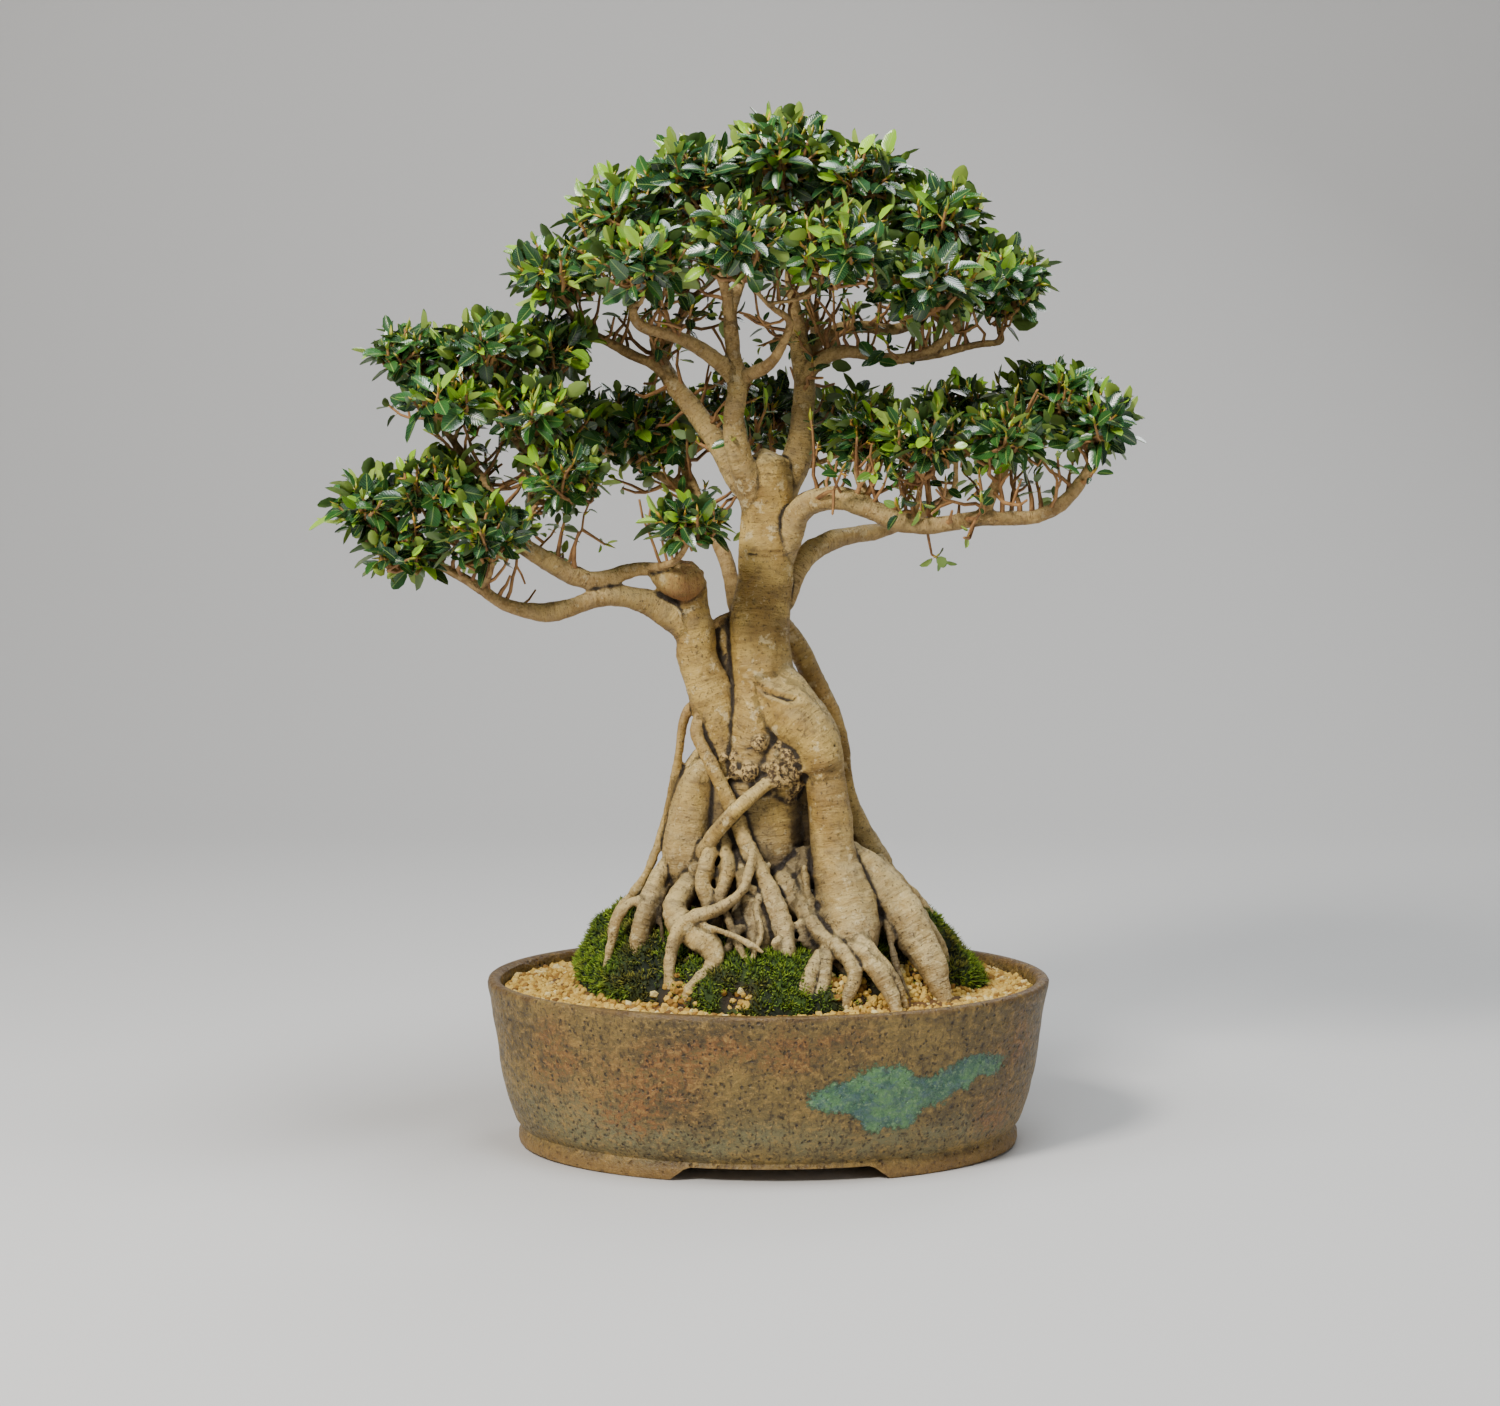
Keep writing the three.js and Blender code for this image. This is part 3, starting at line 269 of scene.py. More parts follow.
# Leaf clumps: name, middle x, y and z, and half-sizes along x, y and z.
CLUMPS = [
    ("crown_far_left", -139, -14, 586, 30, 46, 26),
    ("crown_left", -98, -24, 622, 31, 56, 29),
    ("crown_left_top", -49, -6, 646, 35, 60, 29),
    ("crown_top", 9, 0, 661, 36, 62, 30),
    ("crown_right_top", 61, -4, 646, 35, 60, 29),
    ("crown_right", 110, -8, 619, 33, 56, 29),
    ("crown_far_right", 155, -8, 581, 30, 46, 29),
    ("crown_front_left", -82, -84, 590, 32, 40, 27),
    ("crown_front", -21, -98, 604, 34, 40, 29),
    ("crown_front_right", 43, -94, 599, 34, 40, 29),
    ("crown_front_far_right", 102, -72, 578, 31, 40, 25),
    ("crown_back_left", -88, 74, 614, 36, 42, 32),
    ("crown_back", -21, 94, 628, 37, 42, 32),
    ("crown_back_right", 50, 96, 624, 37, 42, 32),
    ("crown_back_far_right", 114, 72, 598, 34, 42, 30),
    ("middle_left_tip", -236, -22, 534, 26, 38, 21),
    ("middle_left", -184, -34, 536, 31, 42, 22),
    ("middle_left_root", -141, 10, 539, 28, 40, 23),
    ("middle_left_low", -207, -52, 504, 30, 36, 19),
    ("middle_left_front", -154, -56, 498, 28, 34, 21),
    ("low_left_tip", -260, -34, 434, 26, 38, 24),
    ("low_left", -216, -42, 446, 30, 42, 23),
    ("low_left_hem", -238, -46, 404, 27, 34, 17),
    ("low_left_front", -183, -62, 419, 30, 34, 22),
    ("low_left_inner", -131, -66, 453, 28, 34, 24),
    ("back_left", -88, 76, 481, 41, 42, 32),
    ("back_left_far", -142, 52, 485, 34, 44, 29),
    ("back_middle", -12, 112, 494, 39, 36, 30),
    ("back_right", 57, 92, 484, 35, 40, 29),
    ("right_tip", 214, -30, 490, 25, 40, 26),
    ("right_upper", 186, -8, 506, 30, 44, 24),
    ("right_middle", 156, -50, 480, 30, 36, 23),
    ("right_inner", 104, -52, 477, 30, 34, 25),
    ("right_near", 65, -6, 482, 25, 40, 25),
    ("right_back", 132, 60, 491, 36, 42, 27),
    ("heart", -51, -74, 426, 27, 26, 17),
]
CLUMP_MIDDLES = np.array([clump[1:4] for clump in CLUMPS], float)
CLUMP_HALVES = np.array([clump[4:7] for clump in CLUMPS], float)


# ---- Sizes ----
OVAL_STEP = 57
GOLDEN_TURN = 2.39996
GROUND = {"half_x": 178.1, "wall_level": 108, "slope": 3, "mound": 38, "mound_edge": 0.8}
MOSS = {"height": 8, "edge_share": 0.35}
BED = {"depth": 6, "rise": 0.3, "sectors": 240}
LIMB_STEP = 2.0
WOOD_VOXEL = 1.5
WOOD_TRIANGLES = 172000
SPRAY_RADIUS = 1.9


# ---- Small tools ----
def to_frame(points):
    """Millimetres about the pot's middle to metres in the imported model's frame."""
    return np.asarray(points, float) * MM + MIDDLE


def smoothstep(low, high, value):
    share = np.clip((value - low) / (high - low), 0, 1)
    return share * share * (3 - 2 * share)


def unit(vector):
    return vector / max(np.linalg.norm(vector), 1e-9)


def lattice(cells, seed):
    """A repeatable value from -1 to 1 for each whole-numbered cell."""
    mixed = (cells[..., 0] * 73856093) ^ (cells[..., 1] * 19349663) ^ (cells[..., 2] * 83492791)
    mixed = (mixed + seed * 374761393) & 0xFFFFFFFF
    mixed = ((mixed ^ (mixed >> 13)) * 1274126177) & 0xFFFFFFFF
    mixed = ((mixed ^ (mixed >> 16)) * 2246822519) & 0xFFFFFFFF
    return (mixed & 0xFFFFFF) / 0x7FFFFF - 1.0


def noise(points, size, seed=0):
    """Smooth value noise, from -1 to 1, with features about this size."""
    scaled = points / np.asarray(size, float) + 1000.5
    cell = np.floor(scaled).astype(np.int64)
    part = scaled - cell
    part = part * part * (3 - 2 * part)
    total = np.zeros(len(points))
    for corner in range(8):
        step = np.array([corner & 1, corner >> 1 & 1, corner >> 2 & 1])
        weight = np.prod(np.where(step, part, 1 - part), axis=1)
        total += weight * lattice(cell + step, seed)
    return total


def layered(points, size, layers=3, seed=0):
    """Noise with finer and fainter noise on top of it."""
    total, size = np.zeros(len(points)), np.asarray(size, float)
    for layer in range(layers):
        total += noise(points, size / 2**layer, seed + layer) / 2**layer
    return total


def mounds(x, y, places):
    """Soft mounds over the ground, each with its middle, height, width and depth."""
    return sum(
        height * np.exp(-(((x - middle_x) / wide) ** 2) - ((y - middle_y) / deep) ** 2)
        for middle_x, middle_y, height, wide, deep in places
    )


def stand(name, data):
    """An object in the scene for a mesh, a light or a camera."""
    made = bpy.data.objects.new(name, data)
    bpy.context.scene.collection.objects.link(made)
    return made


def new_mesh(name, points, faces):
    """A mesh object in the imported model's frame from points in millimetres."""
    mesh = bpy.data.meshes.new(name)
    mesh.from_pydata(to_frame(points).tolist(), [], faces)
    mesh.validate()
    mesh.update()
    return stand(name, mesh)


def closed(shape, mesh):
    """Writes a closed shape to a mesh with its faces turned outwards."""
    bmesh.ops.recalc_face_normals(shape, faces=shape.faces)
    shape.to_mesh(mesh)
    shape.free()


def solid(name, points, faces):
    """A closed mesh object from points in millimetres."""
    made = new_mesh(name, points, faces)
    shape = bmesh.new()
    shape.from_mesh(made.data)
    closed(shape, made.data)
    return made


def stamp(name, shape):
    """An object that Geometry Nodes repeat, from a closed shape of about one unit."""
    mesh = bpy.data.meshes.new(name)
    closed(shape, mesh)
    return stand(name, mesh)


def evaluated(helper, name):
    """The helper with its modifiers worked in, as a plain mesh object. The helper is removed."""
    bpy.context.view_layer.update()
    graph = bpy.context.evaluated_depsgraph_get()
    shown = helper.evaluated_get(graph)
    mesh = bpy.data.meshes.new_from_object(shown, preserve_all_data_layers=True, depsgraph=graph)
    mesh.name = name
    helper.modifiers.clear()
    old = helper.data
    bpy.data.objects.remove(helper)
    if old.users == 0:
        bpy.data.meshes.remove(old)
    return stand(name, mesh)


def read(items, key, kind=float, width=3):
    """The same few numbers from each of a mesh's items, as the rows of an array."""
    flat = np.empty(len(items) * width, kind)
    items.foreach_get(key, flat)
    return flat.reshape(-1, width)


def own_points(mesh):
    """A mesh's corners in millimetres about the pot's middle."""
    return (read(mesh.vertices, "co") - MIDDLE) / MM


def move_points(mesh, points):
    """Moves a mesh's corners to these places in millimetres."""
    mesh.vertices.foreach_set("co", np.ascontiguousarray(to_frame(points)).ravel())
    mesh.update()


def smoothed(values, edges, rounds, share=0.5):
    """Values on a mesh's corners after each has moved towards the mean of its neighbours."""
    count = len(values)
    degree = np.bincount(edges.ravel(), minlength=count)
    degree[degree == 0] = 1
    for _ in range(rounds):
        total = np.empty_like(values)
        for axis in range(values.shape[1]):
            column = values[:, axis]
            total[:, axis] = np.bincount(edges[:, 0], column[edges[:, 1]], count)
            total[:, axis] += np.bincount(edges[:, 1], column[edges[:, 0]], count)
        values = values + share * (total / degree[:, None] - values)
    return values


def store(mesh, form="FLOAT", **layers):
    """Keeps values for a mesh's corners as named attributes."""
    number = np.int32 if form == "INT" else np.float32
    for name, values in layers.items():
        attribute = mesh.attributes.new(name, form, "POINT")
        key = "vector" if form == "FLOAT_VECTOR" else "value"
        attribute.data.foreach_set(key, np.ascontiguousarray(values, dtype=number).ravel())


def shade_smooth(mesh, angle=None):
    mesh.shade_smooth()
    if angle is not None:
        mesh.set_sharp_from_angle(angle=math.radians(angle))


def ring_faces(rows, count):
    """Faces between rings of corners, each ring with this many."""
    faces = []
    for i in range(rows - 1):
        for k in range(count):
            n = (k + 1) % count
            faces.append((i * count + k, i * count + n, (i + 1) * count + n, (i + 1) * count + k))
    return faces


def joined(shapes):
    """The points and faces of many shapes as those of one."""
    points, faces, total = [], [], 0
    for own, own_faces in shapes:
        points.append(own)
        faces += [tuple(v + total for v in face) for face in own_faces]
        total += len(own)
    return np.vstack(points), faces


def put(tree, kind, feeds=None, **settings):
    """A node with its settings, and with a value or another node's output for each input."""
    node = tree.nodes.new(kind)
    for key, value in settings.items():
        setattr(node, key, value)
    for key, value in (feeds or {}).items():
        socket = node.inputs[key]
        if isinstance(value, bpy.types.NodeSocket):
            tree.links.new(value, socket)
        else:
            socket.default_value = value
    return node


def calculate(tree, operation, a, b=0.0, clamp=False):
    return put(tree, "ShaderNodeMath", {0: a, 1: b}, operation=operation, use_clamp=clamp).outputs[0]


def node_tree(name, *inputs):
    """A Geometry Nodes tree with named inputs, each with its kind and perhaps its usual value."""
    tree = bpy.data.node_groups.new(name, "GeometryNodeTree")
    tree.interface.new_socket(name="Geometry", in_out="OUTPUT", socket_type="NodeSocketGeometry")
    for label, kind, *usual in [("Geometry", "Geometry"), *inputs]:
        socket = tree.interface.new_socket(name=label, in_out="INPUT", socket_type=f"NodeSocket{kind}")
        if usual:
            socket.default_value = usual[0]
    return tree, put(tree, "NodeGroupInput").outputs


def marked(tree, name, kind="FLOAT"):
    """A named attribute, read in a Geometry Nodes tree."""
    return put(tree, "GeometryNodeInputNamedAttribute", {"Name": name}, data_type=kind).outputs["Attribute"]


def dressed(helper, name, tree, inputs):
    """What a Geometry Nodes tree makes of the helper with these inputs, as a plain mesh object."""
    dress = helper.modifiers.new("dress", "NODES")
    dress.node_group = tree
    sockets = {item.name: item.identifier for item in tree.interface.items_tree if item.in_out == "INPUT"}
    for label, value in inputs.items():
        dress[sockets[label]] = value
    return evaluated(helper, name)


def coat(piece, material):
    piece.data.materials.clear()
    piece.data.materials.append(material)
    return piece


def finish(piece, slot, *nodes):
    """Says what a piece rides on and which nodes it stands for, and hides those nodes. The slot is not used."""
    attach(piece, "root")
    if nodes:
        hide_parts(*nodes)


# ---- The way of the limbs ----
class Limb:
    """A limb's centre line drawn smoothly through its rings, with directions across it that don't twist."""

    def __init__(self, rings):
        rings = np.array(rings, float)
        gaps = np.linalg.norm(np.diff(rings[:, :3], axis=0), axis=1)
        at = np.concatenate([[0], np.cumsum(gaps)])
        slope = np.empty_like(rings)
        slope[1:-1] = (rings[2:] - rings[:-2]) / (at[2:] - at[:-2])[:, None]
        slope[0] = (rings[1] - rings[0]) / gaps[0]
        slope[-1] = (rings[-1] - rings[-2]) / gaps[-1]
        self.at = np.linspace(0, at[-1], max(3, int(at[-1] / LIMB_STEP) + 1))
        i = np.clip(np.searchsorted(at, self.at, side="right") - 1, 0, len(gaps) - 1)
        t = ((self.at - at[i]) / gaps[i])[:, None]
        h = gaps[i][:, None]
        drawn = (
            (2 * t**3 - 3 * t**2 + 1) * rings[i] + (t**3 - 2 * t**2 + t) * h * slope[i]
            + (3 * t**2 - 2 * t**3) * rings[i + 1] + (t**3 - t**2) * h * slope[i + 1]
        )
        self.middle, self.radius = drawn[:, :3], np.maximum(drawn[:, 3], 0.5)
        way = np.gradient(self.middle, axis=0)
        self.way = way / np.linalg.norm(way, axis=1)[:, None]
        side = np.cross([0.0, 1.0, 0.0], self.way[0])
        if np.linalg.norm(side) < 0.3:
            side = np.cross([1.0, 0.0, 0.0], self.way[0])
        self.side = np.empty_like(self.middle)
        for k, direction in enumerate(self.way):
            side = side - direction * side.dot(direction)
            side = side / np.linalg.norm(side)
            self.side[k] = side
        self.across = np.cross(self.way, self.side)

    def tube(self, sides, flute, seed):
        """Points and faces of a closed tube. Flute makes its section uneven by this share of its radius."""
        turns = np.arange(sides) * 2 * math.pi / sides
        cos, sin = np.cos(turns), np.sin(turns)
        ring = cos[None, :, None] * self.side[:, None] + sin[None, :, None] * self.across[:, None]
        key = np.empty((len(self.at), sides, 3))
        key[..., 0], key[..., 1] = 1.5 * cos, 1.5 * sin
        key[..., 2] = self.at[:, None] / (1.2 * self.radius[:, None] + 22)
        uneven = 1 + flute * layered(key.reshape(-1, 3), 1.0, 2, seed).reshape(len(self.at), sides)
        points = self.middle[:, None] + ring * (self.radius[:, None] * uneven)[..., None]
        points = points.reshape(-1, 3)
        ends = [
            self.middle[0] - self.way[0] * 0.5 * self.radius[0],
            self.middle[-1] + self.way[-1] * 0.6 * self.radius[-1],
        ]
        faces, first_end, last_ring = ring_faces(len(self.at), sides), len(points), len(points) - sides
        for k in range(sides):
            n = (k + 1) % sides
            faces += [(first_end, n, k), (first_end + 1, last_ring + k, last_ring + n)]
        return np.vstack([points, ends]), faces


def oval_depth(half):
    """How deep the pot's oval is, from its middle, where it is this long."""
    return half - OVAL_STEP if half > 2 * OVAL_STEP else half / 2


def ground_level(out):
    """How high the planting surface is, at this share of the way out to the pot's wall."""
    inner = np.maximum(0, 1 - (out / GROUND["mound_edge"]) ** 2)
    return GROUND["wall_level"] + GROUND["slope"] * (1 - out) + GROUND["mound"] * inner**0.85


def moss_edge(turn):
    """Where the moss stops and the gravel begins, as a share of the way to the pot's wall."""
    return 0.775 + 0.045 * np.sin(3 * turn + 0.6) + 0.03 * np.sin(5 * turn + 2.1)


def leafy_branches():
    """The branches that carry leaves, by name. The bridge between the two trunks carries none."""
    return [rings for name, rings in BRANCHES.items() if name != "bridge_root"]


def grow_branches():
    """Lengthens branches to the leaf clumps and adds side branches, by the same rule as the solids.
    Returns the side branches and, for each clump, the two last rings of what carries it."""
    carriers = [(ring, rings) for rings in leafy_branches() for ring in rings[2:]]
    side_branches, ends = [], []
    for _, x, y, z, _, _, half_z in CLUMPS:
        foot = np.array([0.97 * x, 0.94 * y, z - 0.62 * half_z])

        def cost(carrier):
            away = foot - np.array(carrier[0][:3], float)
            return np.linalg.norm(away) + 2.5 * max(0, -away[2])

        ring, rings = min(carriers, key=cost)
        start = np.array(ring[:3], float)
        span = foot - start
        radius = min(0.8 * ring[3], 3.2)
        bend = np.array([-0.08 * span[1], 0.08 * span[0], -0.1 * np.linalg.norm(span)])
        middle = start + 0.5 * span + bend
        added = [[*middle, (radius + SPRAY_RADIUS) / 2], [*foot, SPRAY_RADIUS]]
        if ring is rings[-1]:
            rings.extend(added)
        else:
            side_branches.append([[*start, radius], *added])
        carriers.append((added[0], added))
        ends.append((np.array(added[0][:3]), foot))
    return side_branches, ends


# ---- The wood ----
# Patches of warts on the front of the trunk: middle and half-sizes, how many, least and greatest radius.
WART_PATCHES = [
    ((-17, 258), (13, 3), 11, (3.6, 5.6)), ((-6, 278), (4, 3), 3, (3.4, 4.6)), ((-28, 268), (10, 3), 5, (2.0, 3.2)),
]
# The swelling that carries most of the warts, which closes the space between the trunk and the right leg.
BURL = {"middle": (8, -24, 260), "halves": (18, 17, 23), "warts": 62, "sizes": (2.6, 5.2)}
# Wood that only shows as form: x, y, z and radius of its rings.
FOLDS = [
    [
        (-12, -6, 334, 12), (-4, -16, 317, 16), (8, -24, 302, 18.5), (20, -30, 289, 18), (31, -33, 276, 16.5),
        (37, -34, 262, 14.5),
    ],
    [(-74, -22, 390, 7), (-66, -25, 386, 12), (-57, -26, 384, 13.5), (-48, -22, 387, 10)],
    [(-30, -2, 356, 5), (-30, -3, 342, 8), (-29, -5, 326, 10), (-28, -8, 304, 12)],
    [(-25, -28, 556, 4.4), (-29, -30, 576, 3.4), (-38, -29, 596, 2.4), (-44, -30, 612, 2)],
    [(-25, -28, 560, 4.2), (-18, -27, 580, 3.2), (-12, -24, 600, 2.3), (-4, -24, 618, 2)],
    [(14, 4, 300, 14), (20, -4, 270, 15), (20, -6, 240, 15), (20, -8, 214, 14), (16, -10, 190, 16)],
    [(-40, -22, 206, 12), (-44, -26, 190, 14), (-40, -30, 176, 12), (-34, -34, 166, 8)],
    [(8, -40, 190, 7), (14, -44, 180, 8.5), (17, -46, 171, 7), (16, -46, 162, 4)],
    [(-14, -42, 176, 7), (-18, -50, 164, 8), (-20, -56, 150, 6.5), (-19, -58, 138, 4)],
    [(2, -44, 170, 6), (-2, -54, 158, 7), (-2, -60, 146, 5), (-1, -62, 136, 3)],
]
# Creases across the wood: points on them, then how deep and how wide they are.
CREASES = [
    ([(-16, -30, 324), (-8, -36, 317), (2, -40, 310), (12, -42, 307), (24, -42, 308), (33, -38, 311)], 2.3, 1.6),
    ([(-13, -32, 319), (-3, -37, 311), (7, -39, 306)], 1.1, 1.1),
    ([(-38, -30, 262), (-28, -36, 268), (-18, -38, 272), (-6, -38, 276)], 1.2, 1.4),
    ([(-44, -34, 252), (-50, -36, 244), (-48, -38, 232)], 1.2, 1.3),
    ([(-20, -42, 232), (-8, -44, 229), (8, -42, 230), (20, -38, 228)], 1.0, 1.0),
    ([(-16, -44, 216), (-4, -46, 220), (8, -44, 214)], 0.9, 1.0),
    ([(-22, -24, 352), (-10, -30, 348), (4, -30, 347), (16, -24, 350)], 0.6, 0.9),
    ([(-64, -30, 172), (-52, -36, 168), (-40, -36, 170)], 1.0, 1.2),
    ([(27, -40, 268), (38, -46, 273), (50, -42, 280)], 0.9, 1.0),
    ([(-17, -18, 402), (-2, -24, 400), (12, -20, 404)], 0.5, 0.8),
]
# Old branch scars, each a small collar with a sunken middle: middle, then radius.
SCARS = [
    ((-9, -24, 371), 3.4), ((6, -22, 352), 2.2), ((-6, -28, 338), 2.6), ((-44, -29, 322), 3.0), ((-40, -30, 300), 2.4),
    ((4, -21, 418), 2.6), ((-1, -20, 436), 2.2), ((-11, -22, 386), 2.0), ((42, -46, 240), 2.0), ((46, -50, 218), 1.8),
]
WOUND = {"middle": (-58, -24, 384), "reach": 19}
SMALL_ROOTS = {"count": 46, "lowest": 148, "highest": 212, "girth": (1.7, 3.4)}
# The upright line that the cone of roots stands round, and the cells in which its outside is looked for, for the
# painted shade deep inside it.
ROOT_CONE = {"axis": (8.0, 0.0), "turns": 60, "levels": 111, "level_height": 7.0}


def warts():
    """Small round warts pressed into the front of the trunk and over the burl: x, y, z and radius."""
    random = np.random.default_rng(11)
    trunk = Limb(TRUNKS["main_trunk"])
    made = []
    for (x, z), (half_x, half_z), count, (small, large) in WART_PATCHES:
        for _ in range(count):
            turn, out = random.uniform(0, 2 * math.pi), math.sqrt(random.uniform(0, 1))
            px, pz = x + half_x * out * math.cos(turn), z + half_z * out * math.sin(turn)
            k = int(np.argmin(abs(trunk.middle[:, 2] - pz)))
            middle, radius = trunk.middle[k], trunk.radius[k]
            across = np.clip((px - middle[0]) / radius, -0.93, 0.93)
            size = random.uniform(small, large) * (1.1 - 0.4 * out)
            front = middle[1] - radius * math.sqrt(1 - across**2) - 0.25 * size - 3.0 * (1 - out)
            made.append((px, front, pz, size))
    middle, halves = np.array(BURL["middle"], float), np.array(BURL["halves"], float)
    for _ in range(BURL["warts"]):
        way = random.normal(0, 1, 3)
        way[1] = -abs(way[1])
        way /= np.linalg.norm(way)
        size = random.uniform(*BURL["sizes"])
        made.append((*(middle + way * (halves - 0.3 * size)), size))
    return made


def small_roots():
    """Thin roots that leave the root mass at many places and run down over it into the ground."""
    random = np.random.default_rng(23)
    made = []
    for k in range(SMALL_ROOTS["count"]):
        turn = GOLDEN_TURN * k + random.uniform(-0.2, 0.2)
        start_z = random.uniform(SMALL_ROOTS["lowest"], SMALL_ROOTS["highest"])
        spread = 44 + 0.42 * (SMALL_ROOTS["highest"] - start_z)
        reach = random.uniform(0.5, 0.74)
        x, y = math.cos(turn), math.sin(turn)
        if k % 3 == 0:
            y = -abs(y)
        start = np.array([spread * x, 0.9 * spread * y - 6])
        end = np.array([GROUND["half_x"] * reach * x, oval_depth(GROUND["half_x"]) * reach * 0.96 * y])
        girth = random.uniform(*SMALL_ROOTS["girth"])
        ground = float(ground_level(np.array([reach]))[0]) + 1
        rings = []
        bend = random.uniform(-1, 1, 2) * 7
        for t in np.linspace(0, 1, 8):
            flat = start + (end - start) * t**1.25 + bend * math.sin(math.pi * t) + random.normal(0, 1.5, 2)
            z = start_z + (ground - start_z) * t**0.85 + random.normal(0, 1)
            rings.append((*flat, z, girth * (1 - 0.35 * t)))
        made.append(rings)
    return made


def ball(middle, radius, rings=6, sectors=10):
    """Points and faces of a ball, or of an egg where the radius is three half-sizes."""
    points = [(0, 0, 1), (0, 0, -1)]
    for i in range(1, rings):
        for k in range(sectors):
            lift, turn = math.pi * i / rings, 2 * math.pi * k / sectors
            points.append((math.sin(lift) * math.cos(turn), math.sin(lift) * math.sin(turn), math.cos(lift)))
    faces = []
    for k in range(sectors):
        n = (k + 1) % sectors
        faces.append((0, 2 + k, 2 + n))
        faces.append((1, 2 + (rings - 2) * sectors + n, 2 + (rings - 2) * sectors + k))
        for i in range(rings - 2):
            a, b = 2 + i * sectors, 2 + (i + 1) * sectors
            faces.append((a + k, b + k, b + n, a + n))
    return np.array(points) * radius + np.array(middle), faces


def nearest_limb(points, limbs, batch=2000):
    """For each point, the limb whose surface is nearest: its number, the point's place along and across it,
    and the limb's radius there."""
    middles, ways, sides, acrosses = (
        np.vstack([getattr(limb, name) for limb in limbs]) for name in ("middle", "way", "side", "across")
    )
    radii, along = (np.concatenate([getattr(limb, name) for limb in limbs]) for name in ("radius", "at"))
    owner = np.concatenate([np.full(len(limb.at), i) for i, limb in enumerate(limbs)])
    best = np.empty(len(points), np.int64)
    for start in range(0, len(points), batch):
        part = points[start:start + batch]
        away = np.linalg.norm(part[:, None] - middles[None], axis=2) - radii[None]
        best[start:start + batch] = away.argmin(axis=1)
    offset = points - middles[best]
    across = [(offset * direction[best]).sum(1) for direction in (ways, sides, acrosses)]
    return owner[best], np.stack([along[best] + across[0], *across[1:]], axis=1), radii[best]


def along_path(points, path):
    """How far each point is from a line through these points."""
    path = np.array(path, float)
    nearest = np.full(len(points), 1e9)
    for a, b in zip(path, path[1:]):
        span = b - a
        t = np.clip(((points - a) @ span) / (span @ span), 0, 1)
        nearest = np.minimum(nearest, np.linalg.norm(points - a - t[:, None] * span, axis=1))
    return nearest


def sunken(place):
    """How far each point of the root cone lies behind the roots around it, from 0 outside to 1 deep inside. The bark's
    colour paints shade there.
    """
    turns, levels = ROOT_CONE["turns"], ROOT_CONE["levels"]
    out = place[:, :2] - ROOT_CONE["axis"]
    away = np.linalg.norm(out, axis=1)
    turn = ((np.arctan2(out[:, 1], out[:, 0]) / (2 * math.pi)) % 1 * turns).astype(int) % turns
    level = np.clip((place[:, 2] / ROOT_CONE["level_height"]).astype(int), 0, levels - 1)
    reach = np.zeros((levels, turns))
    np.maximum.at(reach, (level, turn), away)
    beside = (-2, -1, 0, 1, 2)
    wide = np.max([np.roll(reach, shift, axis=1) for shift in beside], axis=0)
    wide = sum(np.roll(wide, shift, axis=1) for shift in beside) / len(beside)
    behind = wide[level, turn] - away
    return smoothstep(7, 26, behind) * smoothstep(262, 226, place[:, 2])


def bell(away, width):
    return np.exp(-((away / width) ** 2))


def melted_wood(limbs, bumps):
    """One closed skin over the tubes of all the limbs, the warts and the burl."""
    shapes = [limb.tube(sides, flute, number) for number, (limb, sides, flute) in enumerate(limbs)]
    shapes += [ball((x, y, z), radius) for x, y, z, radius in bumps]
    shapes.append(ball(BURL["middle"], BURL["halves"], 16, 24))
    rough = new_mesh("rough_wood", *joined(shapes))
    melt = rough.modifiers.new("melt", "REMESH")
    melt.mode, melt.voxel_size, melt.adaptivity = "VOXEL", WOOD_VOXEL * MM, 0
    return evaluated(rough, "tree_wood")


def hollow_shade_mask(place, edges, normal):
    """Hollows between limbs, found as places that smoothing moves outwards. The bark's colour paints shade in them."""
    near = smoothed(place, edges, 4)
    wide = smoothed(near, edges, 14)
    hollow = np.clip(((near - place) * normal).sum(1) / 0.35, -1, 1.5)
    hollow_wide = np.clip(((wide - place) * normal).sum(1) / 1.6, -1, 1.5)
    return np.clip(0.75 * hollow + 0.8 * hollow_wide, 0, 1)


def bark_relief(place, key, radius, wart):
    """How far the bark stands out at each point, and how dark its creases and scars are. The dark in the creases is
    painted shade; the scars darken at their middles.
    """
    girth = np.minimum(1, radius / 9)
    rings = noise(key / [2.6, 16, 16], 1, 21) + 0.6 * noise(key / [5.2, 26, 26], 1, 22)
    pores = np.clip(noise(key / [1.9, 3.8, 3.8], 1, 23) - 0.45, 0, 1)
    lumps = layered(place, [15, 15, 18], 3, 24)
    lift = 0.95 * girth * lumps + 0.26 * girth * rings + 0.9 * girth * pores * (noise(place, 30, 25) > -0.1)
    lift += 0.12 * noise(place, 2.2, 26)
    root = smoothstep(240, 190, place[:, 2])
    lift += root * (0.7 * layered(place, 6, 2, 27) + 0.35 * noise(key / [2.0, 5, 5], 1, 28))
    lift *= 1 - 0.85 * wart
    dark = np.zeros(len(place))
    for path, depth, width in CREASES:
        away = along_path(place, path)
        lift -= depth * bell(away, width) - 0.45 * depth * bell(away - 2.4 * width, width)
        dark = np.maximum(dark, 0.9 * bell(away, 0.8 * width))
    for middle, size in SCARS:
        away = np.linalg.norm((place - np.array(middle)) * [1, 0.6, 1.35], axis=1)
        lift += 0.9 * bell(away - size, 0.9) - 0.8 * bell(away, 0.6 * size)
        dark = np.maximum(dark, 0.55 * bell(away, 0.7 * size))
    return lift, dark


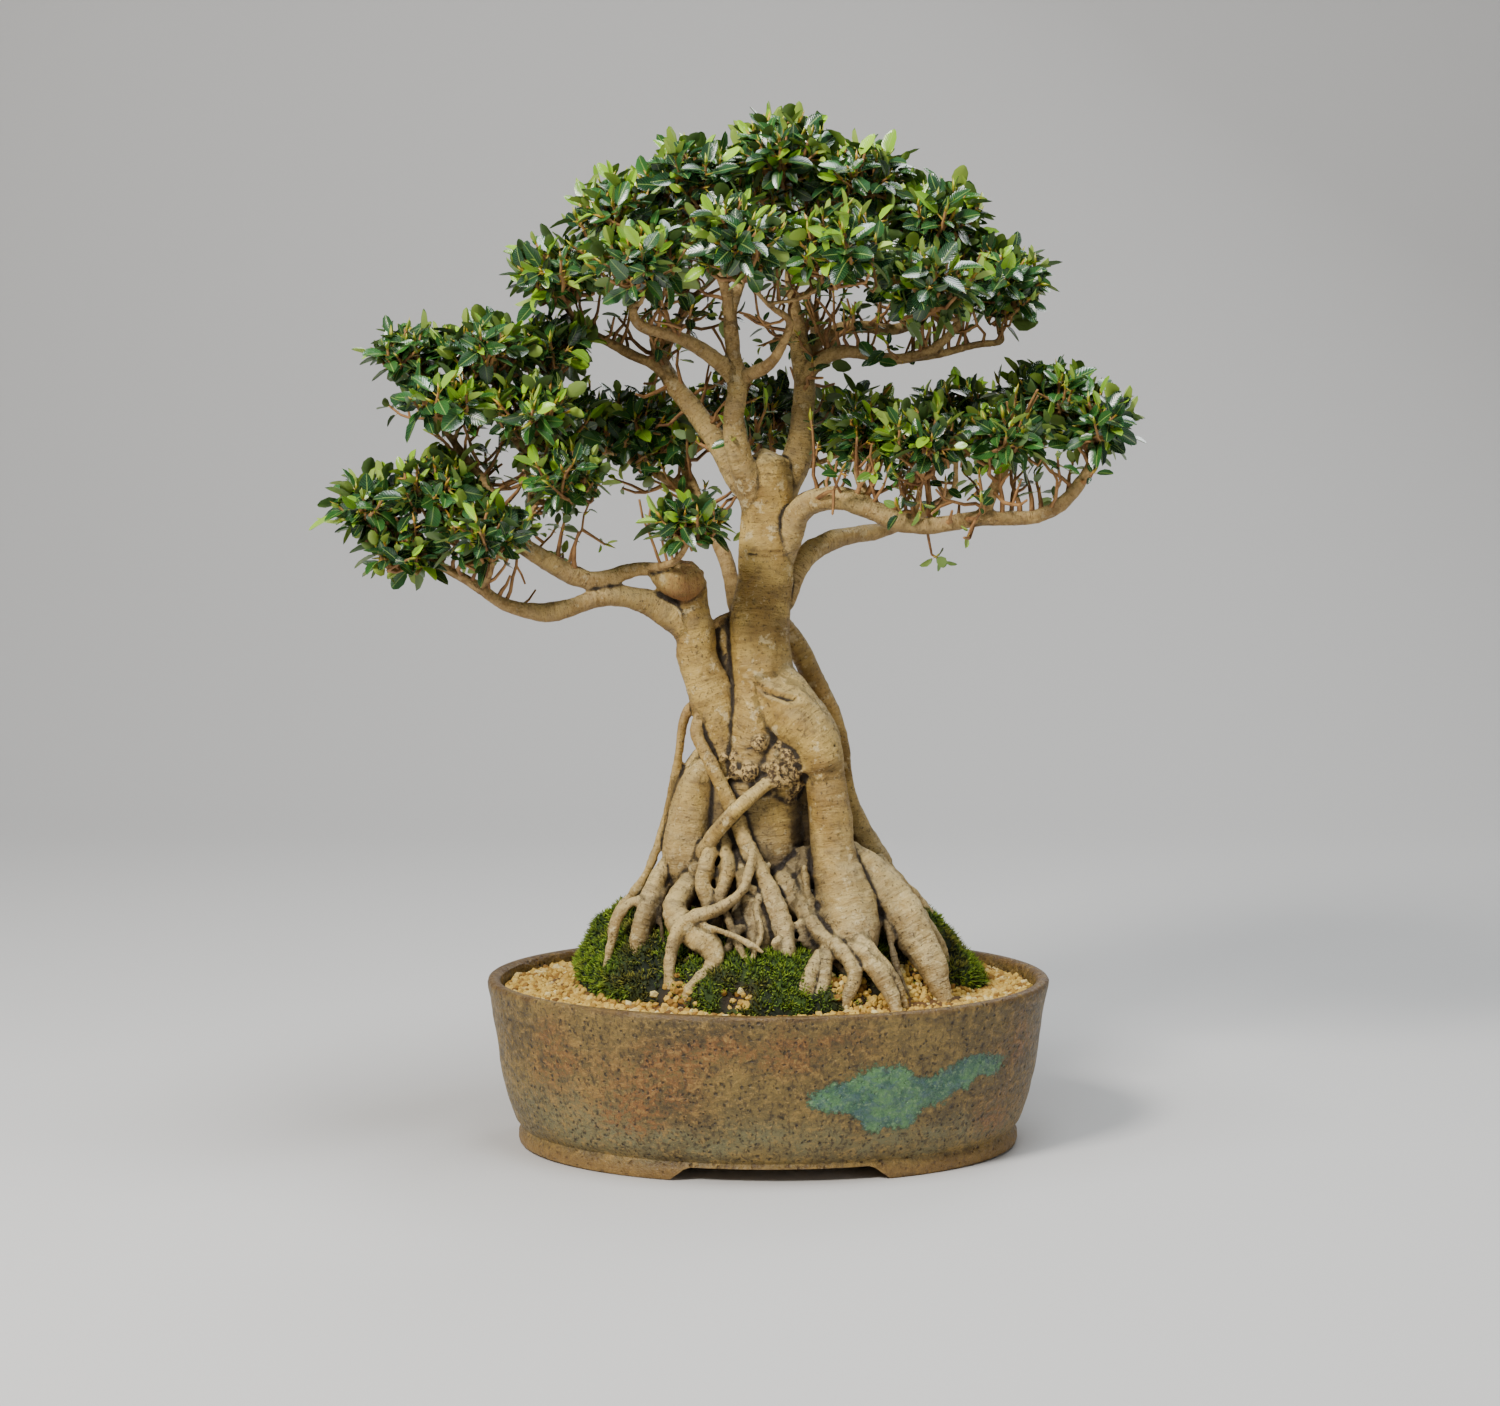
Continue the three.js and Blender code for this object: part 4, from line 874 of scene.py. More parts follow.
def make_wood(side_branches):
    """All the wood as one skin, creased, ringed and warted, with marks for what the bark's colours follow, painted
    shade and painted light among them.
    """
    groups = [
        (TRUNKS.values(), 28, 0.10), (ROOTS.values(), 14, 0.15), (BRANCHES.values(), 14, 0.10),
        (side_branches, 10, 0.08), (FOLDS, 22, 0.08), (small_roots(), 9, 0.1),
    ]
    limbs = [(Limb(rings), sides, flute) for limb_rings, sides, flute in groups for rings in limb_rings]
    bumps = warts()
    wood = melted_wood(limbs, bumps)
    mesh = wood.data
    edges = read(mesh.edges, "vertices", np.int64, 2)
    place = smoothed(own_points(mesh), edges, 2)
    move_points(mesh, place)
    normal = read(mesh.vertex_normals, "vector")
    owner, local, radius = nearest_limb(place, [entry[0] for entry in limbs])
    # The hollows between limbs and the creases get painted shade in the bark's colour.
    crease, deep = hollow_shade_mask(place, edges, normal), sunken(place)
    wart = np.zeros(len(place))
    for x, y, z, size in bumps:
        wart = np.maximum(wart, 1 - smoothstep(size, size + 2.5, np.linalg.norm(place - [x, y, z], axis=1)))
    key = local + owner[:, None] * np.array([37.0, 11.0, 5.0])
    lift, dark = bark_relief(place, key, radius, wart)
    place = place + normal * lift[:, None]
    move_points(mesh, place)

    height = place[:, 2]
    pale = 0.6 * smoothstep(250, 150, height) + 0.35 * noise(place, 24, 31) * smoothstep(300, 240, height)
    pale += 0.3 * smoothstep(330, 380, height) * smoothstep(14, 9, radius)
    store(mesh, "FLOAT_VECTOR", grain=key * MM)
    store(
        mesh, crease=np.clip(np.maximum(crease, dark), 0, 1), pale=np.clip(pale, 0, 1), wart=wart, deep=deep,
        wound=1 - smoothstep(0.55, 1.0, np.linalg.norm(place - WOUND["middle"], axis=1) / WOUND["reach"]),
        slim=smoothstep(9, 2.5, radius) * smoothstep(240, 330, height),
        # How far the bark faces up, for its painted highlight and painted shade.
        upward=read(mesh.vertex_normals, "vector")[:, 2],
    )
    thin = wood.modifiers.new("thin", "DECIMATE")
    thin.ratio = WOOD_TRIANGLES / (2 * len(mesh.polygons))
    wood = evaluated(wood, "tree_wood")
    shade_smooth(wood.data)
    return wood


# ---- Materials ----
def new_material(name, roughness=0.6):
    material = bpy.data.materials.new(name)
    material.use_nodes = True
    tree = material.node_tree
    shader = tree.nodes["Principled BSDF"]
    shader.inputs["Roughness"].default_value = roughness
    return material, tree, shader


def attribute(tree, name, output="Fac"):
    return put(tree, "ShaderNodeAttribute", attribute_name=name).outputs[output]


def stretched(tree, vector, scale):
    return put(tree, "ShaderNodeMapping", {"Vector": vector, "Scale": scale}).outputs["Vector"]


def object_place(tree, scale=(1, 1, 1)):
    """The piece's own coordinates in metres, stretched by scale."""
    return stretched(tree, put(tree, "ShaderNodeTexCoord").outputs["Object"], scale)


def mottle(tree, vector, scale, detail=4, roughness=0.6, output="Fac"):
    feeds = {"Vector": vector, "Scale": scale, "Detail": detail, "Roughness": roughness}
    return put(tree, "ShaderNodeTexNoise", feeds).outputs[output]


def between(tree, value, low, high, to_low=0.0, to_high=1.0):
    feeds = {"Value": value, "From Min": low, "From Max": high, "To Min": to_low, "To Max": to_high}
    return put(tree, "ShaderNodeMapRange", feeds, interpolation_type="SMOOTHSTEP").outputs["Result"]


def times(tree, a, b, clamp=False):
    return calculate(tree, "MULTIPLY", a, b, clamp)


def colour(tone):
    """A tone given as it looks on a screen, from 0 to 255, as the linear colour that the shader takes."""
    return (*(((c / 255 + 0.055) / 1.055) ** 2.4 if c > 10 else c / 255 / 12.92 for c in tone), 1)


def blend(tree, share, a, b):
    """Colour a turned into colour b by this share. A plain tone may stand for either."""
    a, b = (colour(c) if isinstance(c, tuple) else c for c in (a, b))
    return put(tree, "ShaderNodeMix", {0: share, 6: a, 7: b}, data_type="RGBA").outputs[2]


def two_tone(tree, driver, low, high, first, second):
    """The first tone where the driver is low, and the second where it is high."""
    return blend(tree, between(tree, driver, low, high), first, second)


def coats(tree, base, *layers):
    """Coats over a base colour: what drives each, where it begins and where it is full, its cover and its tone."""
    for driver, begins, full, cover, tone in layers:
        base = blend(tree, between(tree, driver, begins, full, 0, cover), base, tone)
    return base


def set_surface(tree, shader, base, *bumps):
    """Gives the shader its colour, and bumps: the height of each, its strength and its depth in metres."""
    tree.links.new(base, shader.inputs["Base Color"])
    normal = {}
    for height, strength, depth in bumps:
        feeds = {"Height": height, "Strength": strength, "Distance": depth, **normal}
        normal = {"Normal": put(tree, "ShaderNodeBump", feeds).outputs["Normal"]}
    tree.links.new(normal["Normal"], shader.inputs["Normal"])


def bark_material():
    material, tree, shader = new_material("fig_bark", 0.62)
    grain, place = attribute(tree, "grain", "Vector"), object_place(tree)
    fine = mottle(tree, stretched(tree, grain, (460, 60, 60)), 1.0, 5, 0.7)
    bands = mottle(tree, stretched(tree, grain, (150, 22, 22)), 1.0, 3)
    pores = mottle(tree, stretched(tree, grain, (900, 190, 190)), 1.0, 2, 0.5)
    cloud, blotch = mottle(tree, place, 30), mottle(tree, place, 95, 4, 0.7)
    speck, upward = mottle(tree, place, 430, 3), attribute(tree, "upward")
    tan = two_tone(tree, cloud, 0.36, 0.64, (156, 122, 54), (208, 174, 94))
    tan = coats(tree, tan, (bands, 0.42, 0.72, 0.42, (118, 86, 38)))
    grey = two_tone(tree, blotch, 0.36, 0.64, (164, 134, 82), (228, 206, 154))
    base = coats(
        tree, blend(tree, attribute(tree, "pale"), tan, grey),
        # Painted highlight on bark that faces up, and painted shade on bark that faces down.
        (upward, 0.0, 0.9, 0.5, (230, 208, 146)),
        (upward, -0.15, -0.9, 0.5, (92, 62, 26)),
        (fine, 0.48, 0.7, 0.44, (98, 70, 34)),
        (blotch, 0.54, 0.66, 0.5, (112, 90, 58)),
        (blotch, 0.44, 0.34, 0.6, (232, 212, 160)),
        (pores, 0.64, 0.74, 0.55, (66, 44, 20)),
        (speck, 0.59, 0.67, 0.66, (50, 34, 16)),
    )
    for mark, cover, tone in (
        ("slim", 0.65, two_tone(tree, blotch, 0.36, 0.62, (110, 72, 36), (196, 158, 100))),
        ("wart", 0.9, two_tone(tree, speck, 0.42, 0.56, (206, 174, 112), (56, 34, 14))),
        ("wound", 0.85, two_tone(tree, blotch, 0.38, 0.6, (66, 26, 10), (128, 62, 28))),
        # Painted shade deep in the cone of roots, where it lies behind the roots around it.
        ("deep", 0.82, (44, 30, 15)),
    ):
        base = blend(tree, times(tree, attribute(tree, mark), cover), base, tone)
    # Painted shade, near black, in the hollows between limbs and along the creases; the scars' middles darken with it.
    base = coats(tree, base, (attribute(tree, "crease"), 0.14, 0.72, 0.95, (32, 20, 8)))
    tree.links.new(between(tree, fine, 0.3, 0.8, 0.5, 0.78), shader.inputs["Roughness"])
    set_surface(
        tree, shader, base, (fine, 0.9, 0.002), (bands, 0.45, 0.0022), (pores, 0.4, 0.001),
        (speck, 0.6, 0.0014), (blotch, 0.6, 0.003),
    )
    return material


# ---- Leaves, buds and twigs ----
# Half-width, fold, droop and sideways bend, all as shares of the leaf's length, and the rows of corners across it.
LEAF_KINDS = {
    "broad_leaf": (0.255, 0.05, 0.07, 0.02, (0.09, 0.36, 0.68, 0.92)),
    "curled_leaf": (0.24, 0.10, 0.17, -0.04, (0.09, 0.36, 0.68, 0.92)),
    "slim_leaf": (0.205, 0.07, 0.04, 0.04, (0.14, 0.48, 0.84)),
    "young_leaf": (0.17, 0.15, -0.05, 0.0, (0.14, 0.48, 0.84)),
}
# What a clump's points carry: 0 to 2 are the full-grown leaves.
YOUNG_LEAF, BUD, TWIG = 3, 4, 9
PETIOLE_SHARE = 0.2
LEAF_THICKNESS = 0.022
THREE_WAYS = (1.57, 3.67, 5.76)
# Least, usual and greatest length.
LEAF_LENGTHS = (9.0, 15.0, 27.0)
SHOOT_AREA = 425
CROWN_SWELL = np.array([1.2, 1.2, 1.14])
BARE_BELOW = -0.3
THICKET = {"thickest": 8.5, "step": 6.5, "reach": 2.5, "length": (14, 44)}


def leaf_shape(name, half_width, fold, droop, bend, stations):
    """One closed leaf, a metre long with its stalk, pointing along +X with its upper side to +Z."""
    shape = bmesh.new()
    blade = shape.verts.layers.float_vector.new("blade")

    def corner(t, across, under=0.0):
        half = half_width * (math.sin(math.pi * t**0.88) ** 0.6 if 0 < t < 1 else 0)
        x = PETIOLE_SHARE + (1 - PETIOLE_SHARE) * t
        z = fold * abs(across) ** 1.4 * half / half_width - droop * t**2 - under
        vert = shape.verts.new((x, across * half + bend * t**2, z))
        vert[blade] = (t, across, 1.0 if under == 0 and across == 0 else (0.5 if across else 0.0))
        return vert

    base, tip = corner(0, 0), corner(1, 0)
    rows = [(corner(t, -1), corner(t, 0), corner(t, 1), corner(t, 0, LEAF_THICKNESS)) for t in stations]
    faces = []
    for (l, m, r, u), (l2, m2, r2, u2) in zip(rows, rows[1:]):
        faces += [(m, l, l2, m2), (r, m, m2, r2), (l, u, u2, l2), (u, r, r2, u2)]
    l, m, r, u = rows[0]
    faces += [(base, l, m), (base, m, r), (base, u, l), (base, r, u)]
    l, m, r, u = rows[-1]
    faces += [(tip, m, l), (tip, r, m), (tip, l, u), (tip, u, r)]
    stalk = [shape.verts.new((-0.01, 0.032 * math.cos(k), 0.032 * math.sin(k) - 0.012)) for k in THREE_WAYS]
    stalk.append(shape.verts.new((PETIOLE_SHARE + 0.1, 0, -0.016)))
    for vert in stalk:
        vert[blade] = (-0.5, 0, 0.75)
    faces += [(stalk[a], stalk[b], stalk[c]) for a, b, c in ((0, 1, 2), (0, 3, 1), (1, 3, 2), (2, 3, 0))]
    for face in faces:
        shape.faces.new(face)
    for edge in shape.edges:
        if abs(edge.verts[0][blade].y) == 1 and abs(edge.verts[1][blade].y) == 1:
            edge.smooth = False
    leaf = stamp(name, shape)
    shade_smooth(leaf.data, 60)
    return leaf


def bud_shape():
    """A pointed leaf bud, a metre long, along +X."""
    shape = bmesh.new()
    low, high = (
        [shape.verts.new((x, 0.13 * math.cos(k), 0.13 * math.sin(k) + 0.1 * x * x)) for k in THREE_WAYS]
        for x in (0.08, 0.45)
    )
    tip, base = shape.verts.new((1.0, 0, 0.12)), shape.verts.new((-0.06, 0, 0))
    for k in range(3):
        n = (k + 1) % 3
        for face in ((low[k], low[n], high[n], high[k]), (high[k], high[n], tip), (low[n], low[k], base)):
            shape.faces.new(face)
    bud = stamp("bud", shape)
    shade_smooth(bud.data)
    return bud


def turn_of(way, up):
    """The turn, as three angles, that takes +X to way and +Z as near to up as it can."""
    way = unit(way)
    side = unit(np.cross(up, way))
    over = np.cross(way, side)
    return Matrix((way, side, over)).transposed().to_euler("XYZ")


class Twigs:
    """Points for leaves, buds and the corners of twigs, gathered for one clump in millimetres."""

    def __init__(self):
        self.rows, self.edges = [], []

    def add(self, point, kind, turn=(0, 0, 0), span=0.0, tint=0.5, thick=0.0):
        self.rows.append((point, kind, turn, span * MM, tint, thick * MM))
        return len(self.rows) - 1

    def path(self, points, radii, tint):
        numbers = [self.add(p, TWIG, thick=r, tint=tint) for p, r in zip(points, radii)]
        self.edges += zip(numbers, numbers[1:])

    def spur(self, start, end, radii, tint, random):
        """A short twig with a kink in its middle."""
        self.path([start, (start + end) / 2 + random.normal(0, 0.8, 3), end], radii, tint)


def crooked(start, end, arrive, random, count, wobble):
    """A crooked way from start to end that arrives along a given direction."""
    span = np.linalg.norm(end - start)
    control = end - arrive * 0.42 * span
    control_a = start + (control - start) * 0.5 + random.normal(0, 0.10, 3) * span
    points = []
    for t in np.linspace(0, 1, count):
        p = (1 - t) ** 3 * start + 3 * (1 - t) ** 2 * t * control_a + 3 * (1 - t) * t**2 * control + t**3 * end
        if 0 < t < 1:
            p = p + random.normal(0, wobble, 3)
        points.append(p)
    return points


def leaf_whorl(twigs, tip, grow, outward, random, most=9, smaller=1.0):
    """Leaves at the end of a shoot, the youngest upright, with their upper sides turned to the light."""
    count = int(random.integers(min(4, most - 2), most))
    side = unit(np.cross(grow, random.normal(0, 1, 3)))
    across = np.cross(grow, side)
    small, usual, large = LEAF_LENGTHS
    fresh = random.random() < 0.22
    shade = random.uniform(0.0, 0.5)
    turn = random.uniform(0, 2 * math.pi)
    for k in range(count):
        turn += GOLDEN_TURN
        age = k / (count - 1)
        open_out = math.radians(30 + 55 * age**0.7 + random.uniform(-16, 16))
        out = math.cos(turn) * side + math.sin(turn) * across
        way = math.cos(open_out) * grow + math.sin(open_out) * out + np.array([0, 0, -0.12 * age])
        up = grow + 0.75 * outward + np.array([0, 0, 0.3]) + random.normal(0, 0.34, 3)
        young = (k == 0 and random.random() < 0.5) or (fresh and k < 3)
        length = random.uniform(small, usual) if random.random() < 0.42 else random.triangular(usual, 19.5, large)
        length *= smaller * (0.72 + 0.28 * min(1, 0.3 + 1.5 * age))
        kind = YOUNG_LEAF if young and random.random() < 0.6 else int(random.integers(0, 3))
        tint = random.uniform(0.8, 1.0) if young else np.clip(shade + random.uniform(-0.15, 0.2), 0, 0.7)
        base = tip - grow * (0.6 + 2.0 * k) * random.uniform(0.7, 1.3)
        twigs.add(base, kind, turn_of(way, up), length, tint)
    bud_way = grow + random.normal(0, 0.12, 3)
    twigs.add(tip - grow * 0.5, BUD, turn_of(bud_way, side), random.uniform(5, 10), random.uniform(0, 0.8))
    for _ in range(int(random.integers(0, 2))):
        way = unit(grow + 0.9 * random.normal(0, 0.5, 3))
        place = tip - grow * random.uniform(2, 10)
        twigs.add(place, BUD, turn_of(way, side), random.uniform(3.5, 7.5), random.uniform(0, 1))


def clump_shoots(index, random):
    """The shoots of one clump, fewest on its underside and inside its neighbours: tip, way and way outwards."""
    reaches = CLUMP_HALVES * CROWN_SWELL
    middle, halves = CLUMP_MIDDLES[index], reaches[index]
    others = np.arange(len(CLUMPS)) != index
    a, b, c = halves
    area = 4 * math.pi * (((a * b) ** 1.6 + (a * c) ** 1.6 + (b * c) ** 1.6) / 3) ** (1 / 1.6)
    tries = int(area / SHOOT_AREA * 1.4)
    shoots = []
    for k in range(tries):
        up = 1 - 2 * (k + 0.5) / tries
        turn = GOLDEN_TURN * k + random.uniform(-0.3, 0.3)
        flat = math.sqrt(1 - up * up)
        way = np.array([flat * math.cos(turn), flat * math.sin(turn), up])
        keep = random.random()
        if up < BARE_BELOW and keep > 0.66 + up * 0.4:
            continue
        reach = random.uniform(0.7, 0.97) if random.random() < 0.8 else random.uniform(0.35, 0.7)
        tip = middle + way * (halves - 8) * reach
        deep = np.linalg.norm((tip - CLUMP_MIDDLES[others]) / reaches[others], axis=1).min()
        if deep < 0.62 and random.random() < 0.8:
            continue
        outward = unit(way / halves)
        rise = 0.75 if up > 0.2 else 0.5
        grow = unit(0.6 * outward + np.array([0, 0, rise]) + random.normal(0, 0.22, 3))
        shoots.append((tip, grow, outward))
    return shoots


def clump_twigs(index, before, foot):
    """The twigs of one clump: from the end of its branch to a few forks, and from those to the shoots."""
    random = np.random.default_rng(400 + index)
    shoots = clump_shoots(index, random)
    twigs = Twigs()
    tips = np.array([shoot[0] for shoot in shoots])
    groups = max(4, len(shoots) // 4)
    centres = tips[random.permutation(len(tips))[:groups]]
    for _ in range(5):
        owner = np.linalg.norm(tips[:, None] - centres[None], axis=2).argmin(1)
        centres = np.array([tips[owner == g].mean(0) if (owner == g).any() else centres[g] for g in range(groups)])
    start_way = unit(foot - before)
    stems = []
    for centre in centres:
        start = foot - start_way * random.uniform(0.05, 0.45) * np.linalg.norm(foot - before)
        fork = start + (centre - start) * random.uniform(0.5, 0.7) + random.normal(0, 2, 3)
        line = crooked(start, fork, unit(0.4 * start_way + unit(centre - foot) + [0, 0, 0.5]), random, 7, 1.2)
        stems.append(line)
        girth = random.uniform(1.9, 2.7)
        twigs.path(line, np.linspace(girth, 1.35, len(line)), random.uniform(0, 0.5))
        end = line[4] + unit(random.normal(0, 1, 3) + [0, 0, 0.6]) * random.uniform(6, 13)
        twigs.spur(line[4], end, (1.4, 1.2, 0.9), 0.6, random)
    for (tip, grow, outward), group in zip(shoots, owner):
        line = stems[group]
        start = line[random.integers(3, len(line))]
        base = tip - grow * random.uniform(11, 17)
        count = max(4, int(np.linalg.norm(tip - start) / 9))
        way = crooked(start, base, grow, random, count, 0.9)
        way += [base + grow * 5 + random.normal(0, 0.5, 3), tip]
        thick = np.concatenate([np.linspace(1.35, 1.05, len(way) - 2), [1.1, 0.8]]) * random.uniform(0.9, 1.2)
        twigs.path(way, thick, random.uniform(0.1, 1.0))
        leaf_whorl(twigs, tip, grow, outward, random)
    return twigs


def thicket(limbs, swarms):
    """Short crooked twigs that rise from the thin limbs into the leaves, some of them bare."""
    random = np.random.default_rng(77)
    for limb in limbs:
        last = 0.0
        for point, radius, way, at in zip(limb.middle, limb.radius, limb.way, limb.at):
            away = np.linalg.norm((point - CLUMP_MIDDLES) / CLUMP_HALVES, axis=1)
            if radius > THICKET["thickest"] or at - last < THICKET["step"] or away.min() > THICKET["reach"]:
                continue
            last = at - random.uniform(0, 2)
            rise = unit(np.array([0, 0, 1.0]) + 0.55 * random.normal(0, 1, 3))
            rise = unit(rise - 0.6 * way * rise.dot(way))
            length = random.uniform(*THICKET["length"])
            tip = point + rise * (radius + length) + random.normal(0, 2, 3)
            twigs = swarms[int(away.argmin())]
            start = point + rise * radius * 0.5
            line = crooked(start, tip, unit(rise + [0, 0, 0.6]), random, max(4, int(length / 6)), 1.0)
            girth = min(0.45 * radius, random.uniform(1.3, 2.1))
            twigs.path(line, np.linspace(girth, 0.85, len(line)), random.uniform(0, 0.9))
            grow = unit(line[-1] - line[-2])
            if random.random() < 0.68:
                leaf_whorl(twigs, line[-1], grow, rise, random, most=6, smaller=0.72)
            if len(line) > 4:
                fork = line[len(line) // 2]
                side = unit(rise + 0.9 * random.normal(0, 1, 3))
                end = fork + side * length * random.uniform(0.3, 0.55)
                twigs.spur(fork, end, (1.2, 1.0, 0.8), 0.7, random)
                if random.random() < 0.5:
                    leaf_whorl(twigs, end, side, rise, random, most=5, smaller=0.6)


def spray_tree():
    """Geometry nodes that dress a clump's points: leaves and buds stood on them, and twigs drawn along their edges."""
    kinds = [*LEAF_KINDS, "bud"]
    tree, given = node_tree(
        "leafy_spray", *((name, "Object") for name in kinds), ("Leaf size", "Float", 1.0),
        ("Size spread", "Float", 0.06), ("Twig girth", "Float", 1.0), ("Twig sides", "Int", 4), ("Seed", "Int", 1),
        ("Leaf finish", "Material"), ("Bud finish", "Material"), ("Twig finish", "Material"),
    )
    join = put(tree, "GeometryNodeJoinGeometry")
    kind = marked(tree, "kind", "INT")

    def of_kind(number):
        same = put(tree, "FunctionNodeCompare", {2: kind, 3: number}, data_type="INT", operation="EQUAL")
        return same.outputs["Result"]

    def add(geometry, label):
        coated = put(tree, "GeometryNodeSetMaterial", {"Geometry": geometry, "Material": given[label]})
        tree.links.new(coated.outputs[0], join.inputs[0])

    rotation = put(tree, "FunctionNodeEulerToRotation", {"Euler": marked(tree, "turn", "FLOAT_VECTOR")}).outputs[0]
    low = calculate(tree, "SUBTRACT", given["Leaf size"], given["Size spread"])
    high = calculate(tree, "ADD", given["Leaf size"], given["Size spread"])
    feeds = {2: low, 3: high, "Seed": given["Seed"]}
    spread = put(tree, "FunctionNodeRandomValue", feeds, data_type="FLOAT").outputs[1]
    size = calculate(tree, "MULTIPLY", marked(tree, "span"), spread)
    for number, name in enumerate(kinds):
        shape = put(tree, "GeometryNodeObjectInfo", {"Object": given[name]}).outputs["Geometry"]
        feeds = {
            "Points": given["Geometry"], "Selection": of_kind(number), "Instance": shape, "Rotation": rotation,
            "Scale": size,
        }
        stood = put(tree, "GeometryNodeInstanceOnPoints", feeds).outputs["Instances"]
        real = put(tree, "GeometryNodeRealizeInstances", {"Geometry": stood}).outputs["Geometry"]
        add(real, "Bud finish" if name == "bud" else "Leaf finish")
    feeds = {"Geometry": given["Geometry"], "Selection": of_kind(TWIG)}
    lines = put(tree, "GeometryNodeSeparateGeometry", feeds).outputs["Selection"]
    curve = put(tree, "GeometryNodeMeshToCurve", {"Mesh": lines}).outputs["Curve"]
    girth = calculate(tree, "MULTIPLY", marked(tree, "thick"), given["Twig girth"])
    curve = put(tree, "GeometryNodeSetCurveRadius", {"Curve": curve, "Radius": girth}).outputs["Curve"]
    feeds = {"Resolution": given["Twig sides"], "Radius": 1.0}
    ring = put(tree, "GeometryNodeCurvePrimitiveCircle", feeds).outputs["Curve"]
    sweep = put(tree, "GeometryNodeCurveToMesh", {"Curve": curve, "Profile Curve": ring, "Fill Caps": True})
    if "Scale" in sweep.inputs:
        tree.links.new(put(tree, "GeometryNodeInputRadius").outputs[0], sweep.inputs["Scale"])
    add(put(tree, "GeometryNodeSetShadeSmooth", {"Geometry": sweep.outputs["Mesh"]}).outputs["Geometry"], "Twig finish")
    real = put(tree, "GeometryNodeRealizeInstances", {"Geometry": join.outputs[0]}).outputs["Geometry"]
    tree.links.new(real, put(tree, "NodeGroupOutput").inputs["Geometry"])
    return tree


def make_sprays(side_branches, clump_ends, finishes):
    """The leaf clumps, each one piece on the points of its own twigs."""
    shapes = {name: leaf_shape(name, *sizes) for name, sizes in LEAF_KINDS.items()}
    shapes["bud"] = bud_shape()
    tree = spray_tree()
    swarms = [clump_twigs(index, *ends) for index, ends in enumerate(clump_ends)]
    thicket([Limb(rings) for rings in leafy_branches() + side_branches], swarms)
    for index, (clump, twigs) in enumerate(zip(CLUMPS, swarms)):
        points, kinds, turns, spans, tints, thick = zip(*twigs.rows)
        mesh = bpy.data.meshes.new("spray_points")
        mesh.from_pydata(to_frame(points).tolist(), twigs.edges, [])
        store(mesh, "INT", kind=kinds)
        store(mesh, "FLOAT_VECTOR", turn=turns)
        store(mesh, span=spans, tint=tints, thick=thick)
        inputs = {**shapes, **finishes, "Seed": 7 + index}
        piece = dressed(stand("spray_points", mesh), f"foliage_{clump[0]}", tree, inputs)
        for name in ("kind", "turn", "span", "thick"):
            if name in piece.data.attributes:
                piece.data.attributes.remove(piece.data.attributes[name])
        finish(piece, "foliage", f"spray_{clump[0]}")
    for shape in shapes.values():
        bpy.data.objects.remove(shape)


def leaf_material():
    material, tree, shader = new_material("fig_leaf", 0.3)
    along, across, side = put(tree, "ShaderNodeSeparateXYZ", {0: attribute(tree, "blade", "Vector")}).outputs
    tint, cloud = attribute(tree, "tint"), mottle(tree, object_place(tree), 160, 3)
    off_rib = calculate(tree, "ABSOLUTE", across)
    vein_place = calculate(tree, "SUBTRACT", along, times(tree, off_rib, 0.22))
    feeds = {"Vector": put(tree, "ShaderNodeCombineXYZ", {0: vein_place}).outputs[0], "Scale": 3.2, "Distortion": 0.3}
    veins = put(tree, "ShaderNodeTexWave", feeds, wave_type="BANDS").outputs["Fac"]
    old = two_tone(tree, tint, 0.0, 0.7, (15, 44, 24), (48, 98, 34))
    old = coats(tree, old, (cloud, 0.35, 0.7, 0.3, (40, 96, 60)))
    top = two_tone(tree, tint, 0.72, 0.95, old, (150, 196, 34))
    top = blend(tree, between(tree, off_rib, 0.03, 0.11, 0.55, 0.0), top, (158, 186, 92))
    top = coats(tree, top, (veins, 0.72, 1.0, 0.18, (112, 154, 78)))
    under = two_tone(tree, tint, 0.0, 0.9, (78, 108, 52), (158, 186, 70))
    is_top = between(tree, side, 0.49, 0.51)
    face = blend(tree, is_top, under, top)
    face = blend(tree, between(tree, along, -0.3, -0.1, 1, 0), face, (186, 162, 54))
    gloss = calculate(tree, "ADD", is_top, times(tree, cloud, 0.3))
    tree.links.new(between(tree, gloss, 0.0, 1.3, 0.6, 0.22), shader.inputs["Roughness"])
    for label, value in (("Specular IOR Level", 0.7), ("Coat Weight", 0.35), ("Coat Roughness", 0.2)):
        shader.inputs[label].default_value = value
    set_surface(tree, shader, face, (veins, 0.18, 0.0004), (cloud, 0.25, 0.001))
    return material


def bud_material():
    material, tree, shader = new_material("leaf_bud", 0.42)
    grain = mottle(tree, object_place(tree), 700, 2)
    base = two_tone(tree, attribute(tree, "tint"), 0.15, 0.85, (170, 176, 44), (196, 142, 48))
    base = coats(tree, base, (grain, 0.4, 0.7, 0.3, (140, 150, 48)))
    set_surface(tree, shader, base, (grain, 0.3, 0.0003))
    return material


def twig_material():
    material, tree, shader = new_material("twig_bark", 0.7)
    place = object_place(tree)
    fine, cloud = mottle(tree, place, 900, 3), mottle(tree, place, 120, 3)
    base = coats(
        tree, two_tone(tree, cloud, 0.35, 0.65, (116, 78, 42), (170, 126, 76)),
        (attribute(tree, "tint"), 0.2, 0.9, 0.5, (190, 140, 84)),
        (fine, 0.55, 0.75, 0.6, (62, 40, 24)),
    )
    set_surface(tree, shader, base, (fine, 0.5, 0.0005))
    return material


# ---- The pot ----
POT = {"height": 114, "half_length": 190, "floor": 23}
FOOT_GAP = {"middle": 7, "half_top": 60, "half_bottom": 75, "top": 9.6, "below": 2}
FOOT_ARCH = {"rise": 1.2, "at": 100, "fades_at": 3}
DRAIN = {"radius": 11, "offset": 75, "sides": 40}
POT_SECTORS = 384
PROFILE_STEP = 2.6
